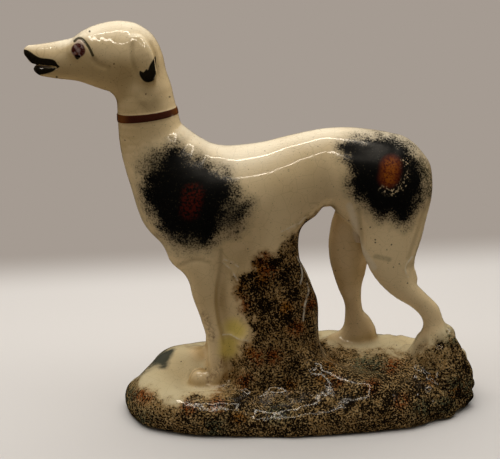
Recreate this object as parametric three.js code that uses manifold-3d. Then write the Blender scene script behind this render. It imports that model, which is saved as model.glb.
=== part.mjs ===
// Greyhound figurine: a standing greyhound held up by a tree stump on an oval rocky mound.
// Dog, stump and mound are one pressed and fired piece of glazed earthenware.
// Millimetres, +Z up. The nose points along -X and the near side faces -Y.
// The origin is the middle of the flat underside.

import * as THREE from 'three';
import { edgeTable, triTable } from 'three/addons/objects/MarchingCubes.js';
import Module from 'manifold-3d';

// Driving dimensions of the mound
const MOUND_LENGTH = 203.6;
const MOUND_DEPTH = 95.6;
const MOUND_SHIFT = -1.2;        // middle of the oval along X
const MOUND_SKEW = -0.045;       // the oval is turned a little against the dog
const MOUND_SQUARENESS = 2.3;    // exponent of the oval, 2 is an ellipse
const BULGE_HEIGHT = 9;          // height of the widest line of the wall
const RIM_ROUNDING = 18;         // softness of the shoulder between top and wall
const WALL_SLOPE = 0.95;         // how fast the distance grows away from the wall
const TOP_SLOPE = 0.9;           // and away from the top
const UNDERCUT = 2.2;            // how far the wall draws in from the bulge to the underside
const OVERHANG = { height: 20, depth: 3 }; // the wall leans in this much at this height above the bulge
const LUMPS = { count: 9, size: 0.4, turn: 1 }; // soft lumps round the wall
const RIDGES = { count: 21, size: 0.4, start: 40, width: 15, twist: 0.1 }; // upright ridges at the hind end

// Driving dimensions of the ground on top of the mound
const NEAR_TOP = 17;             // height by the near front foot
const FAR_RISE = { height: 12, middle: -2, width: 9 };  // step up towards the far side
const HIND_RISE = { height: 9, middle: 4, width: 10 };  // step up towards the near hind foot
const HIND_STRIP = { edge: 10, width: 10 };             // the hind step stays on the near side of this
const END_FALL = 0.00035;        // fall towards both ends, for each square millimetre of distance
const WAVES = { height: 1, x: 9, y: 14, crossX: 25, crossY: 8 }; // gentle unevenness

// Driving dimensions of the dog
const LEG_LINE = 13;             // middle of each lower leg from the mid-plane
const MOUTH_TIP = [-143, 199.6]; // X and Z where the lips part at the front
const MOUTH_CORNER = [-128, 198.6];
const MOUTH_OPENING = 1.1;       // half the width of the groove at the front
const MOUTH_TAPER = 0.6;         // share of that width lost towards the corner
const MOUTH_DEPTH = 1.6;         // depth of the groove between the lips
const EYE = [-116.2, -7.0, 206.6];
const EYE_SIZE = [3.6, 2.0, 3.2];
const BROW = [-110.5, -7.4, 209.6];
const BROW_SIZE = [7.5, 2.6, 4.0];

// How wide the fillet is where a form meets the ones before it
const FILLET = {
  neck: 9, head: 6, jaw: 4, ear: 3, brow: 5, eye: 2, lips: 0.8,
  foreleg: 6, forefoot: 3, nearHindLeg: 7, tail: 2, farHindLeg: 3, farHeel: 3, farToes: 4,
  bark: 4, web: 8, root: 12, ledge: 12, stumpToDog: 5, standingToMound: 7,
};

// How finely the skin is cut into triangles
const CELL = 1.5;                // first sampling step
const TRIANGLE_GOAL = 9200;
const STEPS_PER_STATION = 4;
const CUT_DEPTH = 3;             // the skin is made this far below the underside, then cut off
const SAMPLED_FROM = [-150, -57, -5];   // corners of the box that is sampled
const SAMPLED_TO = [111, 57, 226];
const HEAD_START = { x: -78, z: 180 };  // the head lies before and above these
const WALL_TOP = 16;             // the wall of the mound lies below this
const HEAD_WORTH = 5;            // weight of a fine triangle on the head, against 1 elsewhere
const WALL_WORTH = 0.5;

// Every limb is a round bar along a smooth curve through its stations.
// Station: x, y, z, radius in the side view, half width as a share of that radius.
const LIMBS = {
  trunk: [
    [-57, 0, 123, 30.0, 0.72],   // brisket
    [-41, 0, 124, 28.8, 0.78],   // ribs
    [-18, 0, 127.8, 26.8, 0.72],
    [-2, 0, 134, 24.2, 0.70],
    [14, 0, 141.8, 19.2, 0.74],  // tuck-up
    [28, 0, 136.5, 24.2, 0.82],
    [43.8, 0, 130, 27.9, 0.78],    // croup
  ],
  neck: [
    [-64, 0, 129, 26.0, 0.80],
    [-71.5, 0, 141.5, 23.2, 0.78],
    [-79.7, 0, 156, 18.0, 0.80],
    [-82.2, 0, 170, 15.9, 0.86], // collar
    [-83.4, 0, 184, 14.6, 0.90], // throat
  ],
  head: [
    [-87, 0, 199, 14.5, 0.90],   // nape
    [-93, 0, 203, 17.6, 0.80],   // crown
    [-104, 0, 203.2, 16.0, 0.74],
    [-115, 0, 202.4, 11.2, 0.79], // stop
    [-127, 0, 202.3, 8.9, 0.78],
    [-135, 0, 203.6, 6.4, 0.85],
    [-140.9, 0, 206.2, 3.3, 1.0], // nose
  ],
  jaw: [
    [-97, 0, 195.5, 11.7, 0.9],
    [-110, 0, 197.4, 7.3, 0.95],
    [-122, 0, 197.1, 4.9, 1.05],
    [-135.3, 0, 196.9, 3.1, 1.25], // lower lip
  ],
  ear: [
    [-85.6, -10.6, 211, 3.4, 0.50],
    [-83.2, -12.0, 204, 5.2, 0.40],
    [-81.4, -12.4, 196, 5.0, 0.34], // hanging tip
  ],
  foreleg: [
    [-58, -8, 111, 18.0, 0.60],
    [-59.8, -10.5, 98, 15.4, 0.62],
    [-58.2, -12, 88, 11.2, 0.72], // elbow
    [-56.6, -LEG_LINE, 78, 7.7, 0.85],
    [-54.8, -LEG_LINE, 67, 5.6, 0.90],
    [-53, -LEG_LINE, 58, 4.8, 0.95], // knee
    [-50.6, -LEG_LINE, 45, 4.3, 1.0],
    [-50, -LEG_LINE, 29, 4.6, 1.0], // pastern
  ],
  forefoot: [
    [-50, -LEG_LINE, 25, 5.2, 1.0],
    [-55, -LEG_LINE, 22.5, 5.2, 1.0],
    [-60, -LEG_LINE, 24, 5.3, 1.05], // toes
  ],
  nearHindLeg: [
    [48, -6, 122, 21.0, 0.68],   // haunch
    [48.2, -9.5, 104, 17.2, 0.66],
    [47.9, -12, 88, 12.5, 0.74], // stifle
    [52.8, -LEG_LINE, 74.5, 7.8, 0.90],
    [64.5, -LEG_LINE, 63.5, 5.6, 0.95],
    [71.6, -LEG_LINE, 55.5, 5.8, 0.90], // hock
    [73, -LEG_LINE, 45, 4.6, 1.0],
    [71.5, -LEG_LINE, 36, 5.4, 1.0], // foot
  ],
  farHindLeg: [
    [45, 6, 120, 20.0, 0.68],
    [33.6, 9.5, 102, 15.4, 0.70],
    [29.6, 12, 86, 12.0, 0.75],
    [29.8, LEG_LINE, 74, 9.6, 0.85],
    [30.2, LEG_LINE, 65, 7.2, 0.90],
    [32.3, LEG_LINE, 54, 5.0, 1.0],
    [33.5, LEG_LINE, 43, 6.0, 1.0],
    [34, LEG_LINE, 36, 7.0, 1.0],
  ],
  farHeel: [
    [38.5, LEG_LINE, 42, 4.6, 1.0],
    [41, LEG_LINE, 36, 5.4, 1.0],
  ],
  farToes: [
    [32, LEG_LINE, 34, 5.0, 1.0],
    [22, LEG_LINE, 31, 3.6, 1.0],
  ],
  tail: [
    [65.4, -1, 137, 3.9, 1.0],   // root
    [67.2, -4, 120, 3.5, 1.0],
    [63.8, -8, 103, 3.0, 1.0],
    [59.9, -10, 90, 2.4, 1.0],
    [59.4, -11.5, 83, 2.2, 1.0],
    [60.3, -12.5, 76.5, 3.2, 1.0], // knob at the tip
  ],
  stump: [
    [-20, 0, 114, 22.0, 0.84],   // under the belly
    [-19.5, 0, 98, 17.6, 1.0],
    [-17.5, 0, 82, 18.0, 0.92],
    [-14.5, 0, 66, 22.0, 0.80],
    [-14, 0, 50, 23.0, 0.85],
    [-14, 0, 36, 23.5, 0.90],
    [-13, 0, 22, 25.0, 0.95],    // foot of the stump
  ],
  barkRear: [
    [-6, -4, 102, 4.5, 1.0],
    [-5.5, -7, 86, 6.0, 1.0],
    [0.5, -7, 66, 7.0, 1.0],
    [0.5, -8, 48, 7.0, 1.0],
    [3.5, -9, 32, 7.0, 1.0],
  ],
  barkMiddle: [
    [-16, -8, 98, 5.0, 1.0],
    [-14, -10, 80, 6.0, 1.0],
    [-11, -13, 60, 7.0, 1.0],
    [-8, -15, 44, 7.0, 1.0],
    [-4, -18, 28, 8.0, 1.0],
  ],
  barkFront: [
    [-27, -7, 92, 5.0, 1.0],
    [-28, -10, 74, 6.0, 1.0],
    [-29, -12.5, 54, 7.0, 1.0],
    [-30, -14, 38, 8.0, 1.0],
    [-31, -18, 24, 9.0, 1.0],
  ],
  web: [
    [-43, 0, 104, 15.0, 1.08],   // wall of clay between forelegs and stump
    [-42, 0, 90, 12.0, 1.2],
    [-40, 0, 72, 12.0, 1.15],
    [-40, 0, 52, 12.0, 1.1],
    [-40, 0, 28, 14.0, 0.90],
  ],
  root: [
    [0, -17, 30, 8.0, 1.0],
    [14, -25, 23, 8.0, 1.0],
    [28, -31, 17, 7.0, 1.0],
  ],
  ledge: [
    [-84, -6, 15, 9.0, 1.0],     // swelling round the near front foot
    [-78, -20, 12, 9.0, 1.0],
    [-62, -28, 10.5, 8.0, 1.0],
    [-44, -30, 11, 8.0, 1.0],
  ],
};

// Rounded rocks on the mound: centre, half sizes, softness of the join
const ROCKS = [
  [[-71, 17, 16.5], [14, 13, 11], 8],    // hump at the far left
  [[75, -10, 30], [12, 13, 13], 9],    // rise under the near hind foot
  [[79, -12, 38.5], [7.6, 8.5, 9.5], 8], // rock behind the near hock
  [[83.5, -8, 23], [12.8, 18, 11], 7], // right end
];

// Turns a limb's stations into short straight pieces along a smooth curve.
function bars(stations) {
  const line = new THREE.CatmullRomCurve3(
    stations.map(([x, y, z]) => new THREE.Vector3(x, y, z)), false, 'catmullrom', 0.5);
  const girth = new THREE.CatmullRomCurve3(
    stations.map(([, , , radius, share]) => new THREE.Vector3(radius, share, 0)), false, 'catmullrom', 0.5);
  const count = (stations.length - 1) * STEPS_PER_STATION;
  const pieces = [];
  for (let i = 0; i < count; i += 1) {
    const start = line.getPoint(i / count);
    const along = line.getPoint((i + 1) / count).sub(start);
    const from = girth.getPoint(i / count);
    const change = girth.getPoint((i + 1) / count).sub(from);
    pieces.push({ start, along, from, change, scale: 1 / along.lengthSq() });
  }
  return pieces;
}

const BARS = Object.fromEntries(Object.entries(LIMBS).map(([name, stations]) => [name, bars(stations)]));

// Distance from a point to the skin of one limb, negative inside.
function limb(name, x, y, z) {
  let nearest = Infinity;
  for (const { start, along, from, change, scale } of BARS[name]) {
    const dx = x - start.x;
    const dy = y - start.y;
    const dz = z - start.z;
    const share = (dx * along.x + dy * along.y + dz * along.z) * scale;
    const t = share < 0 ? 0 : share > 1 ? 1 : share;
    const ex = dx - along.x * t;
    const ey = (dy - along.y * t) / (from.y + change.y * t);
    const ez = dz - along.z * t;
    const gap = Math.sqrt(ex * ex + ey * ey + ez * ez) - from.x - change.x * t;
    if (gap < nearest) nearest = gap;
  }
  return nearest;
}

function ball([cx, cy, cz], [rx, ry, rz], x, y, z) {
  const size = Math.hypot((x - cx) / rx, (y - cy) / ry, (z - cz) / rz);
  return (size - 1) * Math.min(rx, ry, rz);
}

// Union of two distances with a fillet about as wide as the softness.
function join(a, b, softness) {
  const overlap = Math.max(softness - Math.abs(a - b), 0) / softness;
  return Math.min(a, b) - overlap * overlap * softness * 0.25;
}

// The part common to both, with a rounded edge.
function meet(a, b, softness) {
  return -join(-a, -b, softness);
}

// A smooth step from 0 to 1.
function ramp(t) {
  return 1 / (1 + Math.exp(-t));
}

function ground(x, y) {
  const farSide = FAR_RISE.height * ramp((y - FAR_RISE.middle) / FAR_RISE.width);
  const nearStrip = ramp((HIND_STRIP.edge - y) / HIND_STRIP.width);
  const hindPart = HIND_RISE.height * ramp((x - HIND_RISE.middle) / HIND_RISE.width) * nearStrip;
  const waves = Math.sin(x / WAVES.x + y / WAVES.y) * Math.cos(y / WAVES.crossY - x / WAVES.crossX);
  return NEAR_TOP + farSide + hindPart - END_FALL * x * x + WAVES.height * waves;
}

function mound(x, y, z) {
  const halfLength = MOUND_LENGTH / 2;
  const halfDepth = MOUND_DEPTH / 2;
  const u = (x - MOUND_SHIFT) / halfLength;
  const v = (y - MOUND_SKEW * x) / halfDepth;
  const power = MOUND_SQUARENESS;
  const reach = (Math.abs(u) ** power + Math.abs(v) ** power) ** (1 / power);
  const turn = Math.atan2(v, u);
  const belowBulge = UNDERCUT * ((BULGE_HEIGHT - z) / BULGE_HEIGHT) ** 2;
  const aboveBulge = OVERHANG.depth * ((z - BULGE_HEIGHT) / OVERHANG.height) ** 2;
  const lean = z < BULGE_HEIGHT ? belowBulge : aboveBulge;
  const lumps = LUMPS.size * Math.sin(LUMPS.count * turn + LUMPS.turn);
  const hindEnd = ramp((x - RIDGES.start) / RIDGES.width);
  const ridges = RIDGES.size * hindEnd * Math.sin(RIDGES.count * turn + RIDGES.twist * z);
  const wall = (reach - 1) * halfDepth * WALL_SLOPE + lean + lumps + ridges;
  const top = (z - ground(x, y)) * TOP_SLOPE;
  let skin = meet(wall, top, RIM_ROUNDING);
  for (const [centre, size, softness] of ROCKS) skin = join(skin, ball(centre, size, x, y, z), softness);
  skin = join(skin, limb('root', x, y, z), FILLET.root);
  return join(skin, limb('ledge', x, y, z), FILLET.ledge);
}

function headAndJaw(x, y, z) {
  const side = -Math.abs(y);
  let skin = join(limb('head', x, y, z), limb('jaw', x, y, z), FILLET.jaw);
  skin = join(skin, limb('ear', x, side, z), FILLET.ear);
  skin = join(skin, ball(BROW, BROW_SIZE, x, side, z), FILLET.brow);
  skin = join(skin, ball(EYE, EYE_SIZE, x, side, z), FILLET.eye);
  const depth = MOUTH_CORNER[0] - MOUTH_TIP[0];
  const t = Math.min(Math.max((x - MOUTH_TIP[0]) / depth, 0), 1);
  const lipX = MOUTH_TIP[0] + depth * t;
  const lipZ = MOUTH_TIP[1] + (MOUTH_CORNER[1] - MOUTH_TIP[1]) * t;
  const lips = Math.hypot(x - lipX, z - lipZ) - MOUTH_OPENING * (1 - MOUTH_TAPER * t);
  const groove = Math.max(lips, -MOUTH_DEPTH - skin);
  return meet(skin, -groove, FILLET.lips);
}

function dog(x, y, z) {
  const side = -Math.abs(y);
  let skin = join(limb('trunk', x, y, z), limb('neck', x, y, z), FILLET.neck);
  skin = join(skin, headAndJaw(x, y, z), FILLET.head);
  skin = join(skin, limb('foreleg', x, side, z), FILLET.foreleg);
  skin = join(skin, limb('forefoot', x, side, z), FILLET.forefoot);
  const nearHind = join(limb('nearHindLeg', x, y, z), limb('tail', x, y, z), FILLET.tail);
  skin = join(skin, nearHind, FILLET.nearHindLeg);
  const heeled = join(limb('farHindLeg', x, y, z), limb('farHeel', x, y, z), FILLET.farHeel);
  const farHind = join(heeled, limb('farToes', x, y, z), FILLET.farToes);
  return join(skin, farHind, FILLET.farHindLeg);
}

function stumpAndWeb(x, y, z) {
  let skin = limb('stump', x, y, z);
  for (const name of ['barkRear', 'barkMiddle', 'barkFront']) {
    skin = join(skin, limb(name, x, y, z), FILLET.bark);
  }
  return join(skin, limb('web', x, y, z), FILLET.web);
}

// Distance to the skin of the whole figurine, negative inside.
function figurine(x, y, z) {
  const standing = join(dog(x, y, z), stumpAndWeb(x, y, z), FILLET.stumpToDog);
  return join(standing, mound(x, y, z), FILLET.standingToMound);
}

// Cuts the skin into small triangles on a grid of cubes. Each grid edge that crosses the skin
// gives one corner, so the triangles share their corners and the mesh is closed.
function cutIntoTriangles(box) {
  const END_MARGIN = 0.02; // a corner keeps this share of its grid edge free at either end
  const size = box.getSize(new THREE.Vector3());
  const [nx, ny, nz] = size.toArray().map((length) => Math.ceil(length / CELL) + 1);
  const step = [1, nx, nx * ny];
  const values = new Float64Array(nx * ny * nz);
  for (let k = 0, at = 0; k < nz; k += 1) {
    const z = box.min.z + k * CELL;
    for (let j = 0; j < ny; j += 1) {
      const y = box.min.y + j * CELL;
      for (let i = 0; i < nx; i += 1, at += 1) {
        const skin = figurine(box.min.x + i * CELL, y, z);
        values[at] = Math.max(skin, -CUT_DEPTH - z);
      }
    }
  }
  // The two ends of each of a cube's twelve edges, as steps from its lowest corner, and its axis
  const [X, Y, Z] = step;
  const EDGES = [
    [0, 0], [X, 1], [Y, 0], [0, 1], [Z, 0], [X + Z, 1], [Y + Z, 0], [Z, 1],
    [0, 2], [X, 2], [X + Y, 2], [Y, 2],
  ];
  const CORNERS = [0, X, X + Y, Y, Z, X + Z, X + Y + Z, Y + Z];
  const points = [];
  const faces = [];
  const cornerOf = new Map();
  const corner = (at, axis) => {
    const key = at * 3 + axis;
    if (!cornerOf.has(key)) {
      const before = values[at];
      const share = before / (before - values[at + step[axis]]);
      const place = [at % nx, Math.floor(at / nx) % ny, Math.floor(at / (nx * ny))];
      place[axis] += Math.min(Math.max(share, END_MARGIN), 1 - END_MARGIN);
      cornerOf.set(key, points.length);
      points.push(box.min.clone().addScaledVector(new THREE.Vector3(...place), CELL));
    }
    return cornerOf.get(key);
  };
  for (let k = 0; k < nz - 1; k += 1) {
    for (let j = 0; j < ny - 1; j += 1) {
      for (let i = 0; i < nx - 1; i += 1) {
        const at = i + j * Y + k * Z;
        let pattern = 0;
        CORNERS.forEach((offset, n) => {
          if (values[at + offset] > 0) pattern += 2 ** n;
        });
        if (edgeTable[pattern] === 0) continue;
        for (let n = pattern * 16; triTable[n] !== -1; n += 3) {
          faces.push([0, 1, 2].map((m) => {
            const [offset, axis] = EDGES[triTable[n + m]];
            return corner(at + offset, axis);
          }));
        }
      }
    }
  }
  return { points, faces };
}

// The plane through a triangle as its unit normal and offset, with the triangle's area.
function planeOf(a, b, c) {
  const normal = b.clone().sub(a).cross(c.clone().sub(a));
  const area = normal.length() / 2;
  normal.normalize();
  return { normal, offset: -normal.dot(a), area };
}

// Sums of squared distances to planes, kept as the ten numbers of a symmetric 4 by 4 matrix.
function planeSum({ normal: { x, y, z }, offset, area }) {
  return [x * x, x * y, x * z, x * offset, y * y, y * z, y * offset, z * z, z * offset, offset * offset]
    .map((value) => value * area);
}

function sumAt(q, { x, y, z }) {
  return q[0] * x * x + q[4] * y * y + q[7] * z * z + q[9]
    + 2 * (q[1] * x * y + q[2] * x * z + q[3] * x + q[5] * y * z + q[6] * y + q[8] * z);
}

// The place with the least sum, or the middle of the edge where the planes don't fix one.
function bestPlace(q, middle) {
  const TOO_FLAT = 1e-4;
  const matrix = new THREE.Matrix3().set(q[0], q[1], q[2], q[1], q[4], q[5], q[2], q[5], q[7]);
  const size = q[0] + q[4] + q[7];
  if (Math.abs(matrix.determinant()) < TOO_FLAT * size ** 3) return middle;
  const place = new THREE.Vector3(-q[3], -q[6], -q[8]).applyMatrix3(matrix.invert());
  return place.distanceTo(middle) < 2 * CELL ? place : middle;
}

// How much a fine triangle is worth: most on the head, least on the wall of the mound.
function worth({ x, z }) {
  if (x < HEAD_START.x && z > HEAD_START.z) return HEAD_WORTH;
  return z < WALL_TOP ? WALL_WORTH : 1;
}

// Thins a closed mesh. In each round the edges that change the skin least are drawn together,
// no two of them next to each other, until the goal is reached.
function thin({ points, faces }, goal) {
  const SHARE_PER_ROUND = 0.2;
  const EVENNESS = 0.002;
  const LEAST_AREA = 1e-3;
  const LEAST_ALIGNMENT = 0.3; // cosine of the most that a triangle may turn
  const sums = points.map(() => new Array(10).fill(0));
  for (const face of faces) {
    const part = planeSum(planeOf(...face.map((i) => points[i])));
    for (const i of face) part.forEach((value, n) => { sums[i][n] += value; });
  }
  let left = faces;
  while (left.length > goal) {
    const around = new Map();
    for (const face of left) {
      for (const i of face) {
        if (!around.has(i)) around.set(i, []);
        around.get(i).push(face);
      }
    }
    const edges = [];
    for (const face of left) {
      face.forEach((u, n) => {
        const v = face[(n + 1) % 3];
        if (u > v) return;
        const middle = points[u].clone().lerp(points[v], 0.5);
        const sum = sums[u].map((value, m) => value + sums[v][m]);
        const place = bestPlace(sum, middle);
        const cost = (sumAt(sum, place) + EVENNESS * points[u].distanceToSquared(points[v])) * worth(middle);
        edges.push({ u, v, place, sum, cost });
      });
    }
    edges.sort((a, b) => a.cost - b.cost);
    const busy = new Set();
    const gone = new Set();
    let count = left.length;
    for (const { u, v, place, sum } of edges.slice(0, Math.ceil(edges.length * SHARE_PER_ROUND))) {
      if (count <= goal) break;
      if (busy.has(u) || busy.has(v)) continue;
      const ringU = new Set(around.get(u).flat());
      const ringV = new Set(around.get(v).flat());
      const shared = [...ringU].filter((i) => i !== u && i !== v && ringV.has(i));
      if (shared.length !== 2) continue;
      const touching = [...around.get(u), ...around.get(v)];
      const moved = touching.filter((face) => !(face.includes(u) && face.includes(v)));
      const keepsSides = moved.every((face) => {
        const before = planeOf(...face.map((i) => points[i])).normal;
        const after = planeOf(...face.map((i) => (i === u || i === v ? place : points[i])));
        return after.area > LEAST_AREA && before.dot(after.normal) > LEAST_ALIGNMENT;
      });
      if (!keepsSides) continue;
      for (const face of around.get(v)) {
        if (face.includes(u)) gone.add(face);
        else face[face.indexOf(v)] = u;
      }
      points[u].copy(place);
      sums[u] = sum;
      count -= 2;
      for (const i of [...ringU, ...ringV]) busy.add(i);
    }
    if (count === left.length) break;
    left = left.filter((face) => !gone.has(face));
  }
  return { points, faces: left };
}

// Moves a point onto the skin, straight along the steepest way, or only sideways.
function settle(point, sideways) {
  const REACH = 0.2;
  const ROUNDS = 3;
  const LEAST_SLOPE = 0.05;
  for (let round = 0; round < ROUNDS; round += 1) {
    const { x, y, z } = point;
    const slope = new THREE.Vector3(
      figurine(x + REACH, y, z) - figurine(x - REACH, y, z),
      figurine(x, y + REACH, z) - figurine(x, y - REACH, z),
      sideways ? 0 : figurine(x, y, z + REACH) - figurine(x, y, z - REACH),
    ).divideScalar(2 * REACH);
    point.addScaledVector(slope, -figurine(x, y, z) / Math.max(slope.lengthSq(), LEAST_SLOPE));
  }
}

// The corners near the underside are put on its plane, so that the cut leaves no thin slivers.
function settleAll(points) {
  const NEAR_PLANE = 0.7;
  for (const point of points) {
    if (point.z < -NEAR_PLANE) continue;
    const onPlane = point.z < NEAR_PLANE;
    if (onPlane) point.z = 0;
    settle(point, onPlane);
  }
}

function toSolid(wasm, points, faces) {
  const used = [...new Set(faces.flat())];
  const renumbered = new Map(used.map((i, n) => [i, n]));
  return new wasm.Manifold(new wasm.Mesh({
    numProp: 3,
    vertProperties: new Float32Array(used.flatMap((i) => points[i].toArray())),
    triVerts: new Uint32Array(faces.flat().map((i) => renumbered.get(i))),
  }));
}

function boxSolid(wasm, box) {
  const size = box.getSize(new THREE.Vector3());
  const middle = box.getCenter(new THREE.Vector3());
  const geometry = new THREE.BoxGeometry(size.x, size.y, size.z).translate(middle.x, middle.y, middle.z);
  const corners = [];
  const indexOf = new Map();
  const order = Array.from(geometry.index.array, (i) => {
    const corner = new THREE.Vector3().fromBufferAttribute(geometry.attributes.position, i);
    const key = corner.toArray().join();
    if (!indexOf.has(key)) {
      indexOf.set(key, corners.length);
      corners.push(corner);
    }
    return indexOf.get(key);
  });
  const faces = [];
  for (let i = 0; i < order.length; i += 3) faces.push(order.slice(i, i + 3));
  return toSolid(wasm, corners, faces);
}

async function figurineGeometry() {
  const wasm = await Module();
  wasm.setup();
  const fine = cutIntoTriangles(
    new THREE.Box3(new THREE.Vector3(...SAMPLED_FROM), new THREE.Vector3(...SAMPLED_TO)));
  const coarse = thin(fine, TRIANGLE_GOAL);
  const used = new Set(coarse.faces.flat());
  settleAll(coarse.points.filter((point, i) => used.has(i)));
  const below = new THREE.Box3(
    new THREE.Vector3(-MOUND_LENGTH, -MOUND_DEPTH, -2 * CUT_DEPTH),
    new THREE.Vector3(MOUND_LENGTH, MOUND_DEPTH, 0));
  const solid = toSolid(wasm, coarse.points, coarse.faces).subtract(boxSolid(wasm, below));
  const mesh = solid.getMesh();
  const geometry = new THREE.BufferGeometry();
  geometry.setAttribute('position', new THREE.BufferAttribute(mesh.vertProperties, 3));
  geometry.setIndex(new THREE.BufferAttribute(mesh.triVerts, 1));
  geometry.computeVertexNormals();
  return geometry;
}

const creamGlaze = new THREE.MeshStandardMaterial({ color: 0xd9c79c, roughness: 0.15, metalness: 0 });
const figure = new THREE.Mesh(await figurineGeometry(), creamGlaze);
figure.name = 'greyhound_figurine';

const group = new THREE.Group();
group.add(figure);

export default group;
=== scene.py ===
import math
from functools import partial

import bpy
import numpy as np
from bpy.props import FloatProperty, FloatVectorProperty, PointerProperty
from mathutils import Matrix, Vector, noise


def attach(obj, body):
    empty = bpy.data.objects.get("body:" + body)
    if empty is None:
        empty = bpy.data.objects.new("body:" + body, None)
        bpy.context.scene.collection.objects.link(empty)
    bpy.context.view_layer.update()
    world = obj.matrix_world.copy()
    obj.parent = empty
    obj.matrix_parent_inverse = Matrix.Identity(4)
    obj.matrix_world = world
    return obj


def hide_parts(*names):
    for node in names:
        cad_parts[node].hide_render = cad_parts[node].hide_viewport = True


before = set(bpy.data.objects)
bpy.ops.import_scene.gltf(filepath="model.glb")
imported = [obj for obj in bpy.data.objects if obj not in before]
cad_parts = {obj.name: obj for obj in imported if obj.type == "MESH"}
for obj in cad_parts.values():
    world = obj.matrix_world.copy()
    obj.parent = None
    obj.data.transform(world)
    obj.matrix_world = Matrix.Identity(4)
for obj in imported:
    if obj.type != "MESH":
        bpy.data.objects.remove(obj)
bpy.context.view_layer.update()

bl_info = {
    "name": "Greyhound Figurine",
    "version": (1, 0, 0),
    "blender": (4, 5, 0),
    "location": "View3D > Sidebar > Greyhound",
    "description": "Models, paints and lights a glazed earthenware greyhound on its rocky mound",
    "category": "Object",
}

NODE = "greyhound_figurine"
BODY = "root"
PIECE = "greyhound"
MM = 0.001

# Stations of each limb along its middle: x, y, z, radius in the side view, half width over radius.
# All sizes are in millimetres, in the frame of the solid.
LIMBS = {
    "trunk": [
        (-57, 0, 123, 30, 0.72), (-41, 0, 124, 28.8, 0.78), (-18, 0, 127.8, 26.8, 0.72),
        (-2, 0, 134, 24.2, 0.7), (14, 0, 141.8, 19.2, 0.74), (28, 0, 136.5, 24.2, 0.82),
        (43.8, 0, 130, 27.9, 0.78),
    ],
    "neck": [
        (-64, 0, 129, 26, 0.8), (-71.5, 0, 141.5, 23.2, 0.78), (-79.7, 0, 156, 18, 0.8),
        (-82.2, 0, 170, 15.9, 0.86), (-83.4, 0, 184, 14.6, 0.9),
    ],
    "head": [
        (-87, 0, 199, 14.5, 0.9), (-93, 0, 203, 17.6, 0.8), (-104, 0, 203.2, 16, 0.74),
        (-115, 0, 202.4, 11.2, 0.79), (-127, 0, 202.3, 8.9, 0.78), (-135, 0, 203.6, 6.4, 0.85),
        (-140.9, 0, 206.2, 3.3, 1),
    ],
    "jaw": [
        (-97, 0, 195.5, 11.7, 0.9), (-110, 0, 197.4, 7.3, 0.95), (-122, 0, 197.1, 4.9, 1.05),
        (-135.3, 0, 196.9, 3.1, 1.25),
    ],
    "ear": [(-85.6, -10.6, 211, 3.4, 0.5), (-83.2, -12, 204, 5.2, 0.4), (-81.4, -12.4, 196, 5, 0.34)],
    "foreleg": [
        (-58, -8, 111, 18, 0.6), (-59.8, -10.5, 98, 15.4, 0.62), (-58.2, -12, 88, 11.2, 0.72),
        (-56.6, -13, 78, 7.7, 0.85), (-54.8, -13, 67, 5.6, 0.9), (-53, -13, 58, 4.8, 0.95),
        (-50.6, -13, 45, 4.3, 1), (-50, -13, 29, 4.6, 1),
    ],
    "forefoot": [(-50, -13, 25, 5.2, 1), (-55, -13, 22.5, 5.2, 1), (-60, -13, 24, 5.3, 1.05)],
    "near_hind_leg": [
        (48, -6, 122, 21, 0.68), (48.2, -9.5, 104, 17.2, 0.66), (47.9, -12, 88, 12.5, 0.74),
        (52.8, -13, 74.5, 7.8, 0.9), (64.5, -13, 63.5, 5.6, 0.95), (71.6, -13, 55.5, 5.8, 0.9),
        (73, -13, 45, 4.6, 1), (71.5, -13, 36, 5.4, 1),
    ],
    "far_hind_leg": [
        (45, 6, 120, 20, 0.68), (33.6, 9.5, 102, 15.4, 0.7), (29.6, 12, 86, 12, 0.75),
        (29.8, 13, 74, 9.6, 0.85), (30.2, 13, 65, 7.2, 0.9), (32.3, 13, 54, 5, 1), (33.5, 13, 43, 6, 1),
        (34, 13, 36, 7, 1),
    ],
    "far_heel": [(38.5, 13, 42, 4.6, 1), (41, 13, 36, 5.4, 1)],
    "far_toes": [(32, 13, 34, 5, 1), (22, 13, 31, 3.6, 1)],
    "tail": [
        (65.4, -1, 137, 3.9, 1), (67.2, -4, 120, 3.5, 1), (63.8, -8, 103, 3, 1), (59.9, -10, 90, 2.4, 1),
        (59.4, -11.5, 83, 2.2, 1), (60.3, -12.5, 76.5, 3.2, 1),
    ],
    "stump": [
        (-20, 0, 114, 22, 0.84), (-19.5, 0, 98, 17.6, 1), (-17.5, 0, 82, 18, 0.92),
        (-14.5, 0, 66, 22, 0.8), (-14, 0, 50, 23, 0.85), (-14, 0, 36, 23.5, 0.9), (-13, 0, 22, 25, 0.95),
    ],
    "web": [
        (-43, 0, 104, 15, 1.08), (-42, 0, 90, 12, 1.2), (-40, 0, 72, 12, 1.15), (-40, 0, 52, 12, 1.1),
        (-40, 0, 28, 14, 0.9),
    ],
    "rear_bark": [
        (-6, -4, 102, 4.5, 1), (-5.5, -7, 86, 6, 1), (0.5, -7, 66, 7, 1), (0.5, -8, 48, 7, 1),
        (3.5, -9, 32, 7, 1),
    ],
    "middle_bark": [
        (-16, -8, 98, 5, 1), (-14, -10, 80, 6, 1), (-11, -13, 60, 7, 1), (-8, -15, 44, 7, 1),
        (-4, -18, 28, 8, 1),
    ],
    "front_bark": [
        (-27, -7, 92, 5, 1), (-28, -10, 74, 6, 1), (-29, -12.5, 54, 7, 1), (-30, -14, 38, 8, 1),
        (-31, -18, 24, 9, 1),
    ],
    "root": [(0, -17, 30, 8, 1), (14, -25, 23, 8, 1), (28, -31, 17, 7, 1)],
    "ledge": [(-84, -6, 15, 9, 1), (-78, -20, 12, 9, 1), (-62, -28, 10.5, 8, 1), (-44, -30, 11, 8, 1)],
}
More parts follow.
